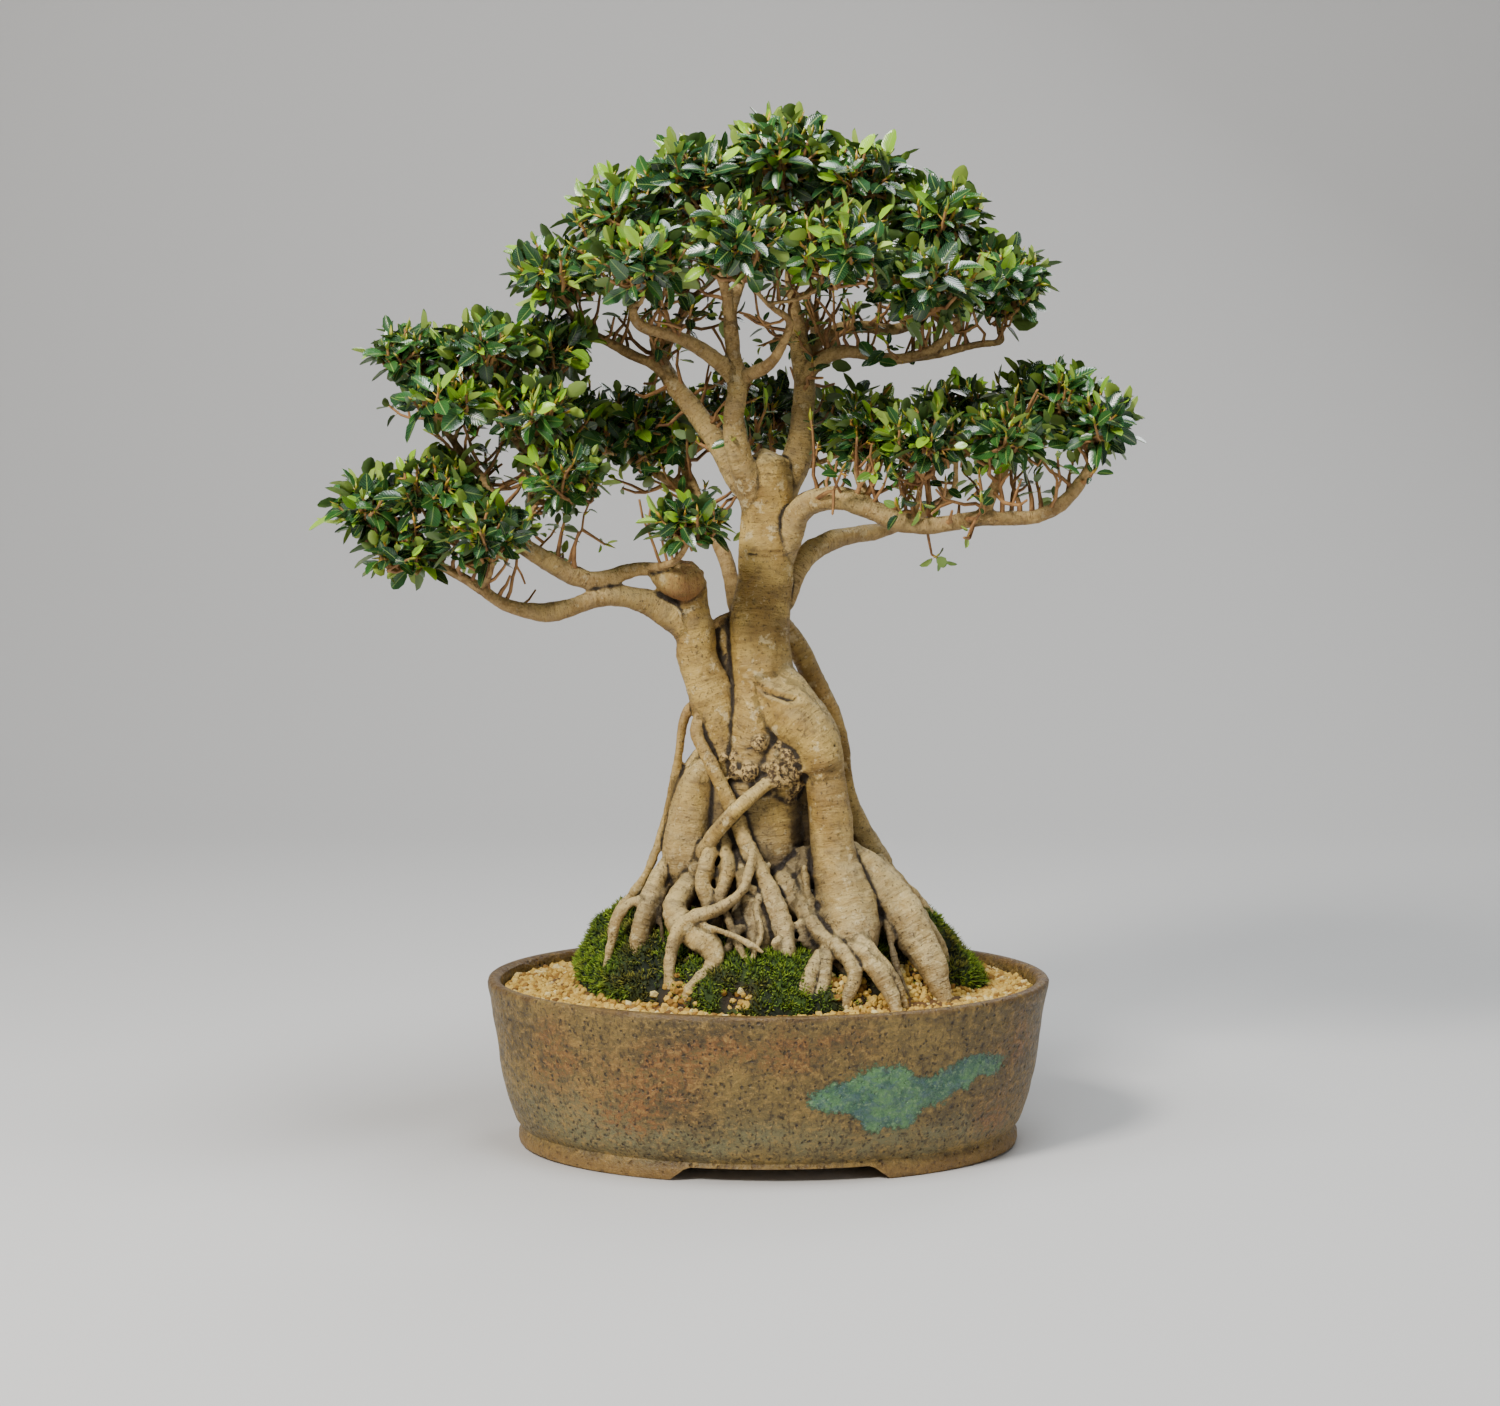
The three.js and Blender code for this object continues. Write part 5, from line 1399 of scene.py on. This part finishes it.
# Half-length and height up the outside of the pot and down its inside. True marks a crisp edge.
POT_PROFILE = [
    (148, 9, True), (150, 0.05, True), (168.2, 0, True), (169.4, 0.9, False), (170, 4, False), (169.8, 8.5, False),
    (168.4, 11, False), (167.9, 12.6, False), (169.2, 14.6, False), (171, 17, False), (173.8, 23, False),
    (176.2, 30, False), (178.4, 37, False), (180.2, 45, False), (182.4, 57, False), (184, 70, False),
    (186, 84, False), (187.6, 95, False), (188.8, 103, False), (189.7, 108, False), (190, 111.4, False),
    (189.5, 113.2, False), (188.3, 114, False), (186, 114.1, False), (183.4, 113.8, False), (181.6, 112.4, False),
    (181, 109, False), (179, 95, False), (174, 70, False), (168, 45, False), (162, 23, True),
]
# Soft round spots on the pot: x, z, half-width and half-height. The running glaze is only on the front.
SPLASH = [
    (40, 57, 14, 10), (56, 59, 16, 14), (74, 63, 18, 17), (92, 58, 15, 13), (76, 44, 9, 15), (62, 46, 6, 10),
    (90, 44, 6, 11), (108, 59, 13, 9), (122, 66, 12, 8), (136, 72, 11, 8), (148, 76, 9, 9),
]
RUST = [
    (-78, 66, 34, 26), (-34, 88, 44, 12), (-92, 40, 26, 18), (-140, 76, 16, 26), (150, 34, 18, 16), (30, 92, 34, 9),
    (164, 84, 14, 20),
]
OLIVE = [(-130, 36, 40, 22), (-90, 26, 46, 14), (-20, 30, 60, 12), (100, 26, 60, 10)]


def oval_points(half, z, count):
    turns = np.arange(count) * 2 * math.pi / count
    return np.stack([half * np.cos(turns), oval_depth(half) * np.sin(turns), np.full(count, float(z))], axis=1)


def spots(points, places):
    """How strongly soft round spots, laid on the front and again on the back, cover each point."""
    x = np.where(points[:, 1] < 0, points[:, 0], -points[:, 0] + 24)
    return mounds(x, points[:, 2], [(middle, height, 1, wide, tall) for middle, height, wide, tall in places])


def pot_profile():
    """The pot's profile with points between those given, drawn smoothly except at crisp edges."""
    drawn = []
    for i, (half, z, crisp) in enumerate(POT_PROFILE[:-1]):
        half_2, z_2, crisp_2 = POT_PROFILE[i + 1]
        before = POT_PROFILE[i - 1] if i and not crisp else (2 * half - half_2, 2 * z - z_2)
        after = POT_PROFILE[i + 2] if i + 2 < len(POT_PROFILE) and not crisp_2 else (2 * half_2 - half, 2 * z_2 - z)
        steps = max(1, int(math.dist((half, z), (half_2, z_2)) / PROFILE_STEP))
        for s in range(steps):
            t = s / steps
            drawn.append([
                0.5 * (2 * b + (c - a) * t + (2 * a - 5 * b + 4 * c - d) * t**2 + (3 * b - a - 3 * c + d) * t**3)
                for a, b, c, d in zip(before[:2], (half, z), (half_2, z_2), after[:2])
            ])
    drawn.append(list(POT_PROFILE[-1][:2]))
    return drawn


def pot_body():
    """The pot without its foot gap and drain holes. Thrown and hand-finished clay is never quite even."""
    rows, fade = [], FOOT_ARCH["fades_at"]
    for half, z in pot_profile():
        ring = oval_points(half, z, POT_SECTORS)
        if z < fade:
            past = np.maximum(0, np.abs(ring[:, 0] - FOOT_GAP["middle"]) - FOOT_GAP["half_bottom"])
            ring[:, 2] += FOOT_ARCH["rise"] * (past / FOOT_ARCH["at"]) ** 2 * (1 - z / fade)
        rows.append(ring)
    points = np.vstack(rows)
    outward = points * [1, 1, 0] / np.linalg.norm(points[:, :2], axis=1)[:, None]
    uneven = 0.75 * noise(points, (46, 46, 26), 3) + 0.28 * layered(points, (9, 9, 7), 2, 5)
    on_wall = smoothstep(6, 20, points[:, 2]) * (1 - smoothstep(112.5, 113.5, points[:, 2]))
    points = points + outward * (uneven * on_wall)[:, None]
    last = (len(rows) - 1) * POT_SECTORS
    caps = [tuple(reversed(range(POT_SECTORS))), tuple(last + k for k in range(POT_SECTORS))]
    return solid("pot", points, ring_faces(len(rows), POT_SECTORS) + caps)


def foot_cutter():
    """What is cut away between the two feet, from front to back."""
    half_top, half_bottom, top, below = (FOOT_GAP[key] for key in ("half_top", "half_bottom", "top", "below"))
    outline = [
        (-half_bottom, -below), (half_bottom, -below), (half_top + 2, top - 1.4), (half_top - 2, top),
        (2 - half_top, top), (-half_top - 2, top - 1.4),
    ]
    ends = (-POT["half_length"], POT["half_length"])
    points = [(FOOT_GAP["middle"] + x, y, z) for y in ends for x, z in outline]
    count = len(outline)
    sides = [(k, (k + 1) % count, count + (k + 1) % count, count + k) for k in range(count)]
    return solid("cutter", points, [*sides, tuple(range(count)), tuple(range(2 * count - 1, count - 1, -1))])


def drain_cutter(x):
    """What is cut away for a drain hole, this far to the side of the pot's middle."""
    count = DRAIN["sides"]
    turns = np.arange(count) * 2 * math.pi / count
    ring = np.stack([x + DRAIN["radius"] * np.cos(turns), DRAIN["radius"] * np.sin(turns), 0 * turns], axis=1)
    caps = [tuple(range(count)), tuple(range(2 * count - 1, count - 1, -1))]
    return solid("cutter", np.vstack([ring, ring + [0, 0, 2 * POT["floor"]]]), ring_faces(2, count) + caps)


def make_pot():
    pot = pot_body()
    cutters = [foot_cutter(), drain_cutter(-DRAIN["offset"]), drain_cutter(DRAIN["offset"])]
    for tool in cutters:
        cut = pot.modifiers.new("cut", "BOOLEAN")
        cut.operation, cut.solver, cut.object = "DIFFERENCE", "EXACT", tool
    pot = evaluated(pot, "stoneware_pot")
    for tool in cutters:
        bpy.data.objects.remove(tool)
    own = own_points(pot.data)
    shift = 5 * np.stack([noise(own, 17, 20 + k) for k in range(3)], axis=1)
    wavy, wavier = own + shift, own + 2 * shift
    store(
        pot.data, splash=np.where(own[:, 1] < 0, np.clip(spots(wavy, SPLASH), 0, 1.5), 0),
        rust=np.clip(spots(wavier, RUST), 0, 1.2), olive=np.clip(spots(wavier, OLIVE), 0, 1.2),
        level=own[:, 2] / POT["height"],
    )
    shade_smooth(pot.data, 42)
    return pot


def glaze_material():
    material, tree, shader = new_material("speckled_glaze", 0.5)
    place, drawn = object_place(tree), object_place(tree, (1, 1, 1.45))
    cloud, blotch = mottle(tree, drawn, 15), mottle(tree, place, 58, 5, 0.7)
    crawl, grain = mottle(tree, drawn, 150, 4, 0.7), mottle(tree, place, 360, 4, 0.7)
    fine, strokes = mottle(tree, place, 900, 3), mottle(tree, object_place(tree, (1, 1, 0.5)), 480, 3)
    shake = {0: mottle(tree, place, 210, 2, 0.5, "Color"), "Scale": 0.004}
    shake = put(tree, "ShaderNodeVectorMath", shake, operation="SCALE").outputs[0]
    shaken = put(tree, "ShaderNodeVectorMath", {0: place, 1: shake}, operation="ADD").outputs[0]
    pits = put(tree, "ShaderNodeTexVoronoi", {"Vector": shaken, "Scale": 215}, feature="F1").outputs["Distance"]
    level = attribute(tree, "level")
    base = two_tone(tree, cloud, 0.36, 0.64, (94, 76, 35), (130, 107, 52))
    base = coats(tree, base, (blotch, 0.42, 0.62, 0.6, (82, 68, 33)))
    olive = times(tree, attribute(tree, "olive"), between(tree, blotch, 0.3, 0.7, 0.2, 0.8), True)
    base = blend(tree, olive, base, (124, 122, 84))
    rusty = times(tree, attribute(tree, "rust"), between(tree, crawl, 0.42, 0.6, 0.05, 1.0), True)
    base = coats(
        tree, blend(tree, times(tree, rusty, 0.78), base, (124, 64, 17)),
        (crawl, 0.5, 0.66, 0.6, (164, 132, 68)),
        (crawl, 0.47, 0.32, 0.8, (62, 46, 22)),
        (grain, 0.55, 0.68, 0.55, (176, 144, 82)),
        (strokes, 0.54, 0.63, 0.66, (56, 40, 19)),
        (pits, 0.3, 0.12, 0.8, (38, 27, 13)),
    )
    field = calculate(tree, "ADD", attribute(tree, "splash"), between(tree, grain, 0.3, 0.7, -0.16, 0.16))
    field = calculate(tree, "ADD", field, between(tree, blotch, 0.3, 0.7, -0.28, 0.28))
    run = between(tree, field, 0.5, 0.66)
    sea = coats(
        tree, two_tone(tree, blotch, 0.4, 0.6, (44, 90, 74), (90, 136, 84)),
        (crawl, 0.46, 0.62, 0.6, (60, 96, 108)),
        (grain, 0.52, 0.66, 0.55, (138, 170, 124)),
        (field, 0.86, 0.62, 0.75, (44, 66, 38)),
    )
    base = blend(tree, times(tree, run, 0.92), base, sea)
    worn = times(tree, between(tree, level, 0.955, 0.995), between(tree, blotch, 0.3, 0.55))
    base = blend(tree, times(tree, worn, 0.6), base, (96, 68, 36))
    base = coats(tree, base, (level, 0.14, 0.03, 0.5, (150, 112, 58)))
    rough = calculate(tree, "SUBTRACT", between(tree, grain, 0.35, 0.7, 0.38, 0.64), times(tree, run, 0.14))
    tree.links.new(rough, shader.inputs["Roughness"])
    set_surface(
        tree, shader, base, (crawl, 0.8, 0.0026), (between(tree, pits, 0.0, 0.32), 0.7, 0.0014),
        (grain, 0.5, 0.0009), (fine, 0.3, 0.0004), (run, 0.25, 0.0006),
    )
    return material


# ---- Ground: earth, gravel and moss ----
# Mounds in the moss: x, y, height, width and depth.
MOSS_MOUNDS = [
    (-98, 6, 24, 30, 24), (-84, -34, 13, 20, 18), (104, 8, 22, 26, 24),
    (-2, -78, 8, 34, 12), (60, 70, 12, 40, 22), (-50, 74, 12, 40, 22),
]
# Where the ground is bare, in the same order, with a height of 1.
BARE_GROUND = [(-62, -84, 1, 13, 10), (52, -80, 1, 18, 11), (98, -58, 1, 20, 16), (-20, -92, 1, 10, 5)]
CUSHION = 15.0
GRAVEL_STARTS, MOSS_STARTS = 1, 0.35
FULL_TURN, SMALL_TURN = 6.28, 0.35


def ground_rows(places, lift, push=0.0):
    """Rings over the planting surface: 0 is its middle, 1 the edge of the moss and 2 the pot's wall."""
    turn = np.arange(BED["sectors"]) * 2 * math.pi / BED["sectors"]
    edge = moss_edge(turn)
    rows = []
    for place in places:
        out = place * edge if place < 1 else edge + (place - 1) * (1 - edge)
        x = (out * GROUND["half_x"] + push) * np.cos(turn)
        y = (out * oval_depth(GROUND["half_x"]) + push) * np.sin(turn)
        rows.append(np.stack([x, y, ground_level(out) + lift(x, y, place)], axis=1))
    return rows


def bed_bottom(places):
    return ground_rows(places, lambda x, y, place: BED["rise"] - BED["depth"])


def ring_body(name, top, bottom):
    """A closed ring from the rows over its top, inwards to outwards, and the rows under it, outwards to inwards."""
    rows, count = [*top, *bottom], BED["sectors"]
    last = (len(rows) - 1) * count
    closing = [(last + k, last + (k + 1) % count, (k + 1) % count, k) for k in range(count)]
    return solid(name, np.vstack(rows), ring_faces(len(rows), count) + closing)


def pebble_shape(name, seed):
    """A chip of baked clay, one unit across: a cube-ish ball with broken corners."""
    random = np.random.default_rng(seed)
    shape = bmesh.new()
    bmesh.ops.create_icosphere(shape, subdivisions=1, radius=0.5)
    stretch = random.uniform(0.78, 1.2, 3)
    for vert in shape.verts:
        vert.co = Vector(np.array(vert.co) * stretch * random.uniform(0.8, 1.14))
    return stamp(name, shape)


def tuft_shape(name, seed):
    """A moss shoot, one unit tall: a few pointed leaves that open from one foot."""
    random = np.random.default_rng(seed)
    shape = bmesh.new()
    rise = shape.verts.layers.float.new("rise")
    for k in range(4):
        turn = 2 * math.pi * k / 4 + random.uniform(-0.4, 0.4)
        lean = random.uniform(0.35, 1.0) if k else 0.05
        out = np.array([math.cos(turn), math.sin(turn), 0])
        side = np.array([-out[1], out[0], 0])
        tip = out * math.sin(lean) * 0.9 + np.array([0, 0, math.cos(lean) * random.uniform(0.8, 1.15)])
        foot = out * 0.05
        corners = [foot + side * 0.16, foot - side * 0.16, foot + out * 0.12 + [0, 0, -0.05], tip]
        a, b, c, d = (shape.verts.new(corner) for corner in corners)
        # The tips are marked by rise, from which the moss's colour paints shade at the foot of each shoot.
        d[rise] = 1.0
        for face in ((a, b, c), (a, d, b), (b, d, c), (c, d, a)):
            shape.faces.new(face)
    return stamp(name, shape)


def strewn_tree(name, kinds, turned, with_bed):
    """Geometry nodes that strew small shapes over a bed, where its "cover" attribute is high."""
    labels = [f"Shape {number + 1}" for number in range(kinds)]
    sizes = ("Least size", "Greatest size", "Spacing", "Density")
    tree, given = node_tree(
        name, *((label, "Object") for label in labels), *((label, "Float") for label in sizes),
        ("Seed", "Int"), ("Finish", "Material"),
    )

    def chance(kind, low, high, step):
        first, second, result = {"FLOAT": (2, 3, 1), "INT": (4, 5, 2), "FLOAT_VECTOR": (0, 1, 0)}[kind]
        index = put(tree, "GeometryNodeInputIndex").outputs[0]
        feeds = {"ID": index, "Seed": step, first: low, second: high}
        return put(tree, "FunctionNodeRandomValue", feeds, data_type=kind).outputs[result]

    feeds = {
        "Mesh": given["Geometry"], "Distance Min": given["Spacing"], "Density Max": given["Density"],
        "Density Factor": marked(tree, "cover"), "Seed": given["Seed"],
    }
    strewn = put(tree, "GeometryNodeDistributePointsOnFaces", feeds, distribute_method="POISSON").outputs
    shapes = put(tree, "GeometryNodeJoinGeometry")
    for label in labels:
        one = put(tree, "GeometryNodeObjectInfo", {"Object": given[label], "As Instance": True})
        tree.links.new(one.outputs["Geometry"], shapes.inputs[0])
    low, high = (0, 0, 0), (FULL_TURN, FULL_TURN, FULL_TURN)
    if not turned:
        low, high = (-SMALL_TURN, -SMALL_TURN, 0), (SMALL_TURN, SMALL_TURN, FULL_TURN)
    spin = put(tree, "FunctionNodeEulerToRotation", {"Euler": chance("FLOAT_VECTOR", low, high, 5)}).outputs[0]
    feeds = {"Rotation": strewn["Rotation"], "Rotate By": spin}
    lying = put(tree, "FunctionNodeRotateRotation", feeds, rotation_space="LOCAL").outputs[0]
    feeds = {
        "Points": strewn["Points"], "Instance": shapes.outputs[0], "Pick Instance": True,
        "Instance Index": chance("INT", 0, kinds - 1, 9), "Rotation": lying,
        "Scale": chance("FLOAT", given["Least size"], given["Greatest size"], 3),
    }
    stood = put(tree, "GeometryNodeInstanceOnPoints", feeds).outputs["Instances"]
    feeds = {"Geometry": stood, "Name": "tint", "Value": chance("FLOAT", 0.0, 1.0, 13)}
    tinted = put(tree, "GeometryNodeStoreNamedAttribute", feeds, data_type="FLOAT", domain="INSTANCE").outputs[0]
    join = put(tree, "GeometryNodeJoinGeometry")
    tree.links.new(put(tree, "GeometryNodeRealizeInstances", {"Geometry": tinted}).outputs[0], join.inputs[0])
    if with_bed:
        tree.links.new(given["Geometry"], join.inputs[0])
    real = put(tree, "GeometryNodeRealizeInstances", {"Geometry": join.outputs[0]}).outputs[0]
    done = put(tree, "GeometryNodeSetMaterial", {"Geometry": real, "Material": given["Finish"]}).outputs[0]
    tree.links.new(done, put(tree, "NodeGroupOutput").inputs["Geometry"])
    return tree


def strew(bed, name, shapes, turned, material, sizes, with_bed=True):
    """The bed with shapes strewn over it. The sizes are the least, the greatest and the spacing, then the density."""
    *lengths, density = sizes
    tree = strewn_tree(f"{name}_strewn", len(shapes), turned, with_bed)
    inputs = {f"Shape {number + 1}": shape for number, shape in enumerate(shapes)}
    inputs |= zip(("Least size", "Greatest size", "Spacing"), (length * MM for length in lengths))
    piece = dressed(bed, name, tree, {**inputs, "Density": density, "Seed": 11, "Finish": material})
    for shape in shapes:
        bpy.data.objects.remove(shape)
    return coat(piece, material)


def make_gravel(material):
    places = np.linspace(GRAVEL_STARTS, 2, 20)

    def grains(x, y, place):
        points = np.stack([x, y, 0 * x], axis=1)
        return 0.9 * layered(points, 4.2, 2, 8) + 1.3 * noise(points, 19, 12) - 1.6

    top = ground_rows(places, grains, 0.6)
    top[-1] = ground_rows([2], grains)[0]
    bottom = bed_bottom([2, GRAVEL_STARTS])
    bottom[1][:, :2] = top[0][:, :2]
    bed = ring_body("gravel_bed", top, bottom)
    row = BED["sectors"]
    cover = np.zeros(len(bed.data.vertices))
    cover[:row] = 0.6
    cover[row:(len(places) - 1) * row] = 1
    # The bed under the grains has tint 0, which the gravel's colour paints dark as shade in the gaps between grains.
    store(bed.data, cover=cover, tint=0 * cover)
    pebbles = [pebble_shape(f"pebble_{k}", 60 + k) for k in range(4)]
    return strew(bed, "gravel_bed", pebbles, True, material, (3.6, 6.8, 2.9, 260000.0))


def cushions_at(points):
    """How near each point is to the middle of its moss cushion, 1 in the middle, and each cushion's own tone."""
    near = np.full(len(points), 9.0)
    tone = np.zeros(len(points))
    cell = np.floor(points[:, :2] / CUSHION).astype(np.int64)
    for i in (-1, 0, 1):
        for j in (-1, 0, 1):
            place = np.stack([cell[:, 0] + i, cell[:, 1] + j, 0 * cell[:, 0]], axis=1)
            middle = (place[:, :2] + 0.5) * CUSHION
            middle += np.stack([lattice(place, 41), lattice(place, 42)], axis=1) * 0.42 * CUSHION
            wide = CUSHION * (0.72 + 0.24 * lattice(place, 43))
            away = np.linalg.norm(points[:, :2] - middle, axis=1) / wide
            tone = np.where(away < near, lattice(place, 44), tone)
            near = np.minimum(near, away)
    return np.clip(1 - near**2, 0, 1), tone


def bare(points):
    return np.clip(1.3 * mounds(points[:, 0], points[:, 1], BARE_GROUND), 0, 1)


def moss_bed(name):
    """The cushioned ground under the moss, with its points, where shoots may stand and where it is bare."""
    places = np.linspace(MOSS_STARTS, 1, 40)

    def cushioned(x, y, place):
        points = np.stack([x, y, 0 * x], axis=1)
        swell = MOSS["height"] * (1 if place < 0.97 else MOSS["edge_share"] + (1 - place) * 20)
        lumps = 6.2 * np.sqrt(cushions_at(points)[0]) + 1.3 * layered(points, 6, 2, 15) - 3.2
        mounded = mounds(x, y, MOSS_MOUNDS) * min(1, (1 - place) * 9 + 0.12)
        return (swell + lumps) * (1 - 0.75 * bare(points)) + mounded - 1.2

    bed = ring_body(name, ground_rows(places, cushioned), bed_bottom([1, MOSS_STARTS]))
    own = own_points(bed.data)
    cover = np.zeros(len(own))
    cover[BED["sectors"]:len(places) * BED["sectors"]] = 1
    return bed, own, cover, bare(own)


def make_stray_grains(material):
    """Grains of the gravel that lie on the bare ground between the moss cushions, without the ground itself."""
    bed, _, cover, dry = moss_bed("stray_bed")
    store(bed.data, cover=cover * smoothstep(0.25, 0.8, dry))
    pebbles = [pebble_shape(f"stray_{k}", 60 + k) for k in range(4)]
    return strew(bed, "stray_grains", pebbles, True, material, (3.4, 6.2, 3.1, 260000.0), with_bed=False)


def make_moss(material):
    bed, own, cover, dry = moss_bed("moss_bed")
    full, tone = cushions_at(own)
    shoots = cover * np.clip(0.25 + 1.5 * full, 0.25, 1) * (1 - 0.9 * dry)
    # rise stays low on the ground between the cushions, where the moss's colour paints shade.
    store(bed.data, cover=shoots, rise=0.32 * full, tone=tone, dry=dry)
    shade_smooth(bed.data)
    tufts = [tuft_shape(f"tuft_{k}", 80 + k) for k in range(4)]
    return strew(bed, "moss_cushions", tufts, False, material, (2.8, 5.8, 1.75, 330000.0))


def gravel_material():
    material, tree, shader = new_material("baked_clay_gravel", 0.85)
    tint, place = attribute(tree, "tint"), object_place(tree)
    grain, cloud = mottle(tree, place, 1100, 3, 0.7), mottle(tree, place, 260, 3)
    base = coats(
        tree, two_tone(tree, tint, 0.0, 0.7, (178, 138, 52), (210, 176, 86)),
        (tint, 0.82, 1.0, 1, (230, 212, 148)),
        (tint, 0.24, 0.1, 0.7, (132, 90, 34)),
        (cloud, 0.5, 0.75, 0.6, (140, 98, 38)),
        # Painted shade: the bed under the grains, and the few grains with the lowest tint, go dark brown.
        (tint, 0.06, 0.0, 0.9, (92, 62, 30)),
    )
    set_surface(tree, shader, base, (grain, 0.6, 0.0005))
    return material


def moss_material():
    material, tree, shader = new_material("moss_shoots", 0.85)
    tint, rise, place = attribute(tree, "tint"), attribute(tree, "rise"), object_place(tree)
    cloud, fine = mottle(tree, place, 26, 3), mottle(tree, place, 700, 3)
    fresh = blend(tree, tint, (98, 138, 24), (178, 204, 50))
    olive = blend(tree, tint, (78, 88, 24), (160, 152, 52))
    leafy = two_tone(tree, cloud, 0.48, 0.6, fresh, olive)
    leafy = coats(tree, leafy, (attribute(tree, "tone"), -0.2, 0.9, 0.4, (46, 76, 24)))
    # Painted shade, near black, at the feet of the shoots and on the ground between the cushions.
    base = two_tone(tree, rise, 0.0, 0.8, (20, 31, 10), leafy)
    base = coats(tree, base, (fine, 0.5, 0.7, 0.5, (18, 24, 9)))
    bare_earth = times(tree, attribute(tree, "dry"), between(tree, rise, 0.6, 0.4))
    set_surface(tree, shader, blend(tree, bare_earth, base, (52, 36, 20)), (fine, 0.8, 0.0012))
    return material


def earth_material():
    material, tree, shader = new_material("potting_earth", 0.92)
    place = object_place(tree)
    lumps, crumbs = mottle(tree, place, 180, 4, 0.7), mottle(tree, place, 620, 3)
    base = two_tone(tree, lumps, 0.35, 0.65, (54, 38, 24), (92, 68, 44))
    base = coats(tree, base, (crumbs, 0.6, 0.72, 0.7, (146, 116, 80)))
    set_surface(tree, shader, base, (lumps, 0.7, 0.0016), (crumbs, 0.5, 0.0007))
    return material


# ---- Stage ----
# The floor is a plain pale sheet that turns up softly far behind the plant. Sizes are in metres.
FLOOR = {"bend": 0.9, "half": 4.0, "front": -3.2, "back": 2.2, "height": 3.4}
# The lamps: name, place, what each looks at, its sides, its power and its tint.
LAMPS = [
    ("key", (-1.1, -1.4, 1.8), (0, 0, 0.32), (0.5, 0.5), 68, (1, 0.965, 0.91)),
    ("top", (0.2, -0.3, 2.0), (0, 0, 0.5), (0.9, 0.7), 34, (0.92, 0.97, 1)),
    ("fill", (1.8, -1.5, 0.8), (0, 0, 0.3), (1.0, 1.0), 5, (1, 0.98, 0.95)),
    ("rim", (0.9, 1.5, 1.6), (0, 0, 0.4), (0.8, 0.8), 12, (0.95, 0.98, 1)),
]


def make_stage():
    bend, half, front, back, height = (FLOOR[key] for key in ("bend", "half", "front", "back", "height"))
    profile = [(front, 0.0)]
    profile += [(back - bend + bend * math.sin(a), bend - bend * math.cos(a)) for a in np.linspace(0, math.pi / 2, 14)]
    profile.append((back, height))
    mesh = bpy.data.meshes.new("floor")
    points = [(x, y, z) for y, z in profile for x in (-half, half)]
    faces = [(2 * i, 2 * i + 1, 2 * i + 3, 2 * i + 2) for i in range(len(profile) - 1)]
    mesh.from_pydata(points, [], faces)
    mesh.shade_smooth()
    material, _, shader = new_material("pale_floor", 0.85)
    shader.inputs["Base Color"].default_value = (0.62, 0.61, 0.6, 1)
    mesh.materials.append(material)
    stand("floor", mesh)
    for name, place, target, sides, power, tint in LAMPS:
        light = bpy.data.lights.new(name, "AREA")
        light.shape, light.energy, light.color = "RECTANGLE", power, tint
        light.size, light.size_y = sides
        lamp = stand(name, light)
        lamp.location = place
        lamp.rotation_euler = (Vector(target) - Vector(place)).to_track_quat("-Z", "Y").to_euler()
    world = bpy.data.worlds.new("studio")
    world.use_nodes = True
    backdrop = world.node_tree.nodes["Background"]
    backdrop.inputs["Color"].default_value = (0.8, 0.82, 0.86, 1)
    backdrop.inputs["Strength"].default_value = 0.15
    bpy.context.scene.world = world


def make_camera():
    data = bpy.data.cameras.new("camera")
    data.lens, data.sensor_width = 69.6, 36
    data.clip_start, data.clip_end = 0.05, 20
    camera = stand("camera", data)
    camera.location = to_frame([-12.24, -1936, 522])
    camera.rotation_euler = (math.radians(90 - 6.55), 0, 0)
    bpy.context.scene.camera = camera


# ---- Everything together ----
side_branches, clump_ends = grow_branches()
finish(coat(make_wood(side_branches), bark_material()), "bark", "tree")
finishes = {"Leaf finish": leaf_material(), "Bud finish": bud_material(), "Twig finish": twig_material()}
make_sprays(side_branches, clump_ends, finishes)
finish(coat(make_pot(), glaze_material()), "stoneware", "pot")
gravel_coat = gravel_material()
finish(make_gravel(gravel_coat), "gravel", "gravel_1")
finish(make_moss(moss_material()), "moss", "moss_1")
finish(make_stray_grains(gravel_coat), "gravel")
earth_coat = earth_material()
for slot in bpy.data.objects["soil"].material_slots:
    slot.material = earth_coat
make_stage()
make_camera()
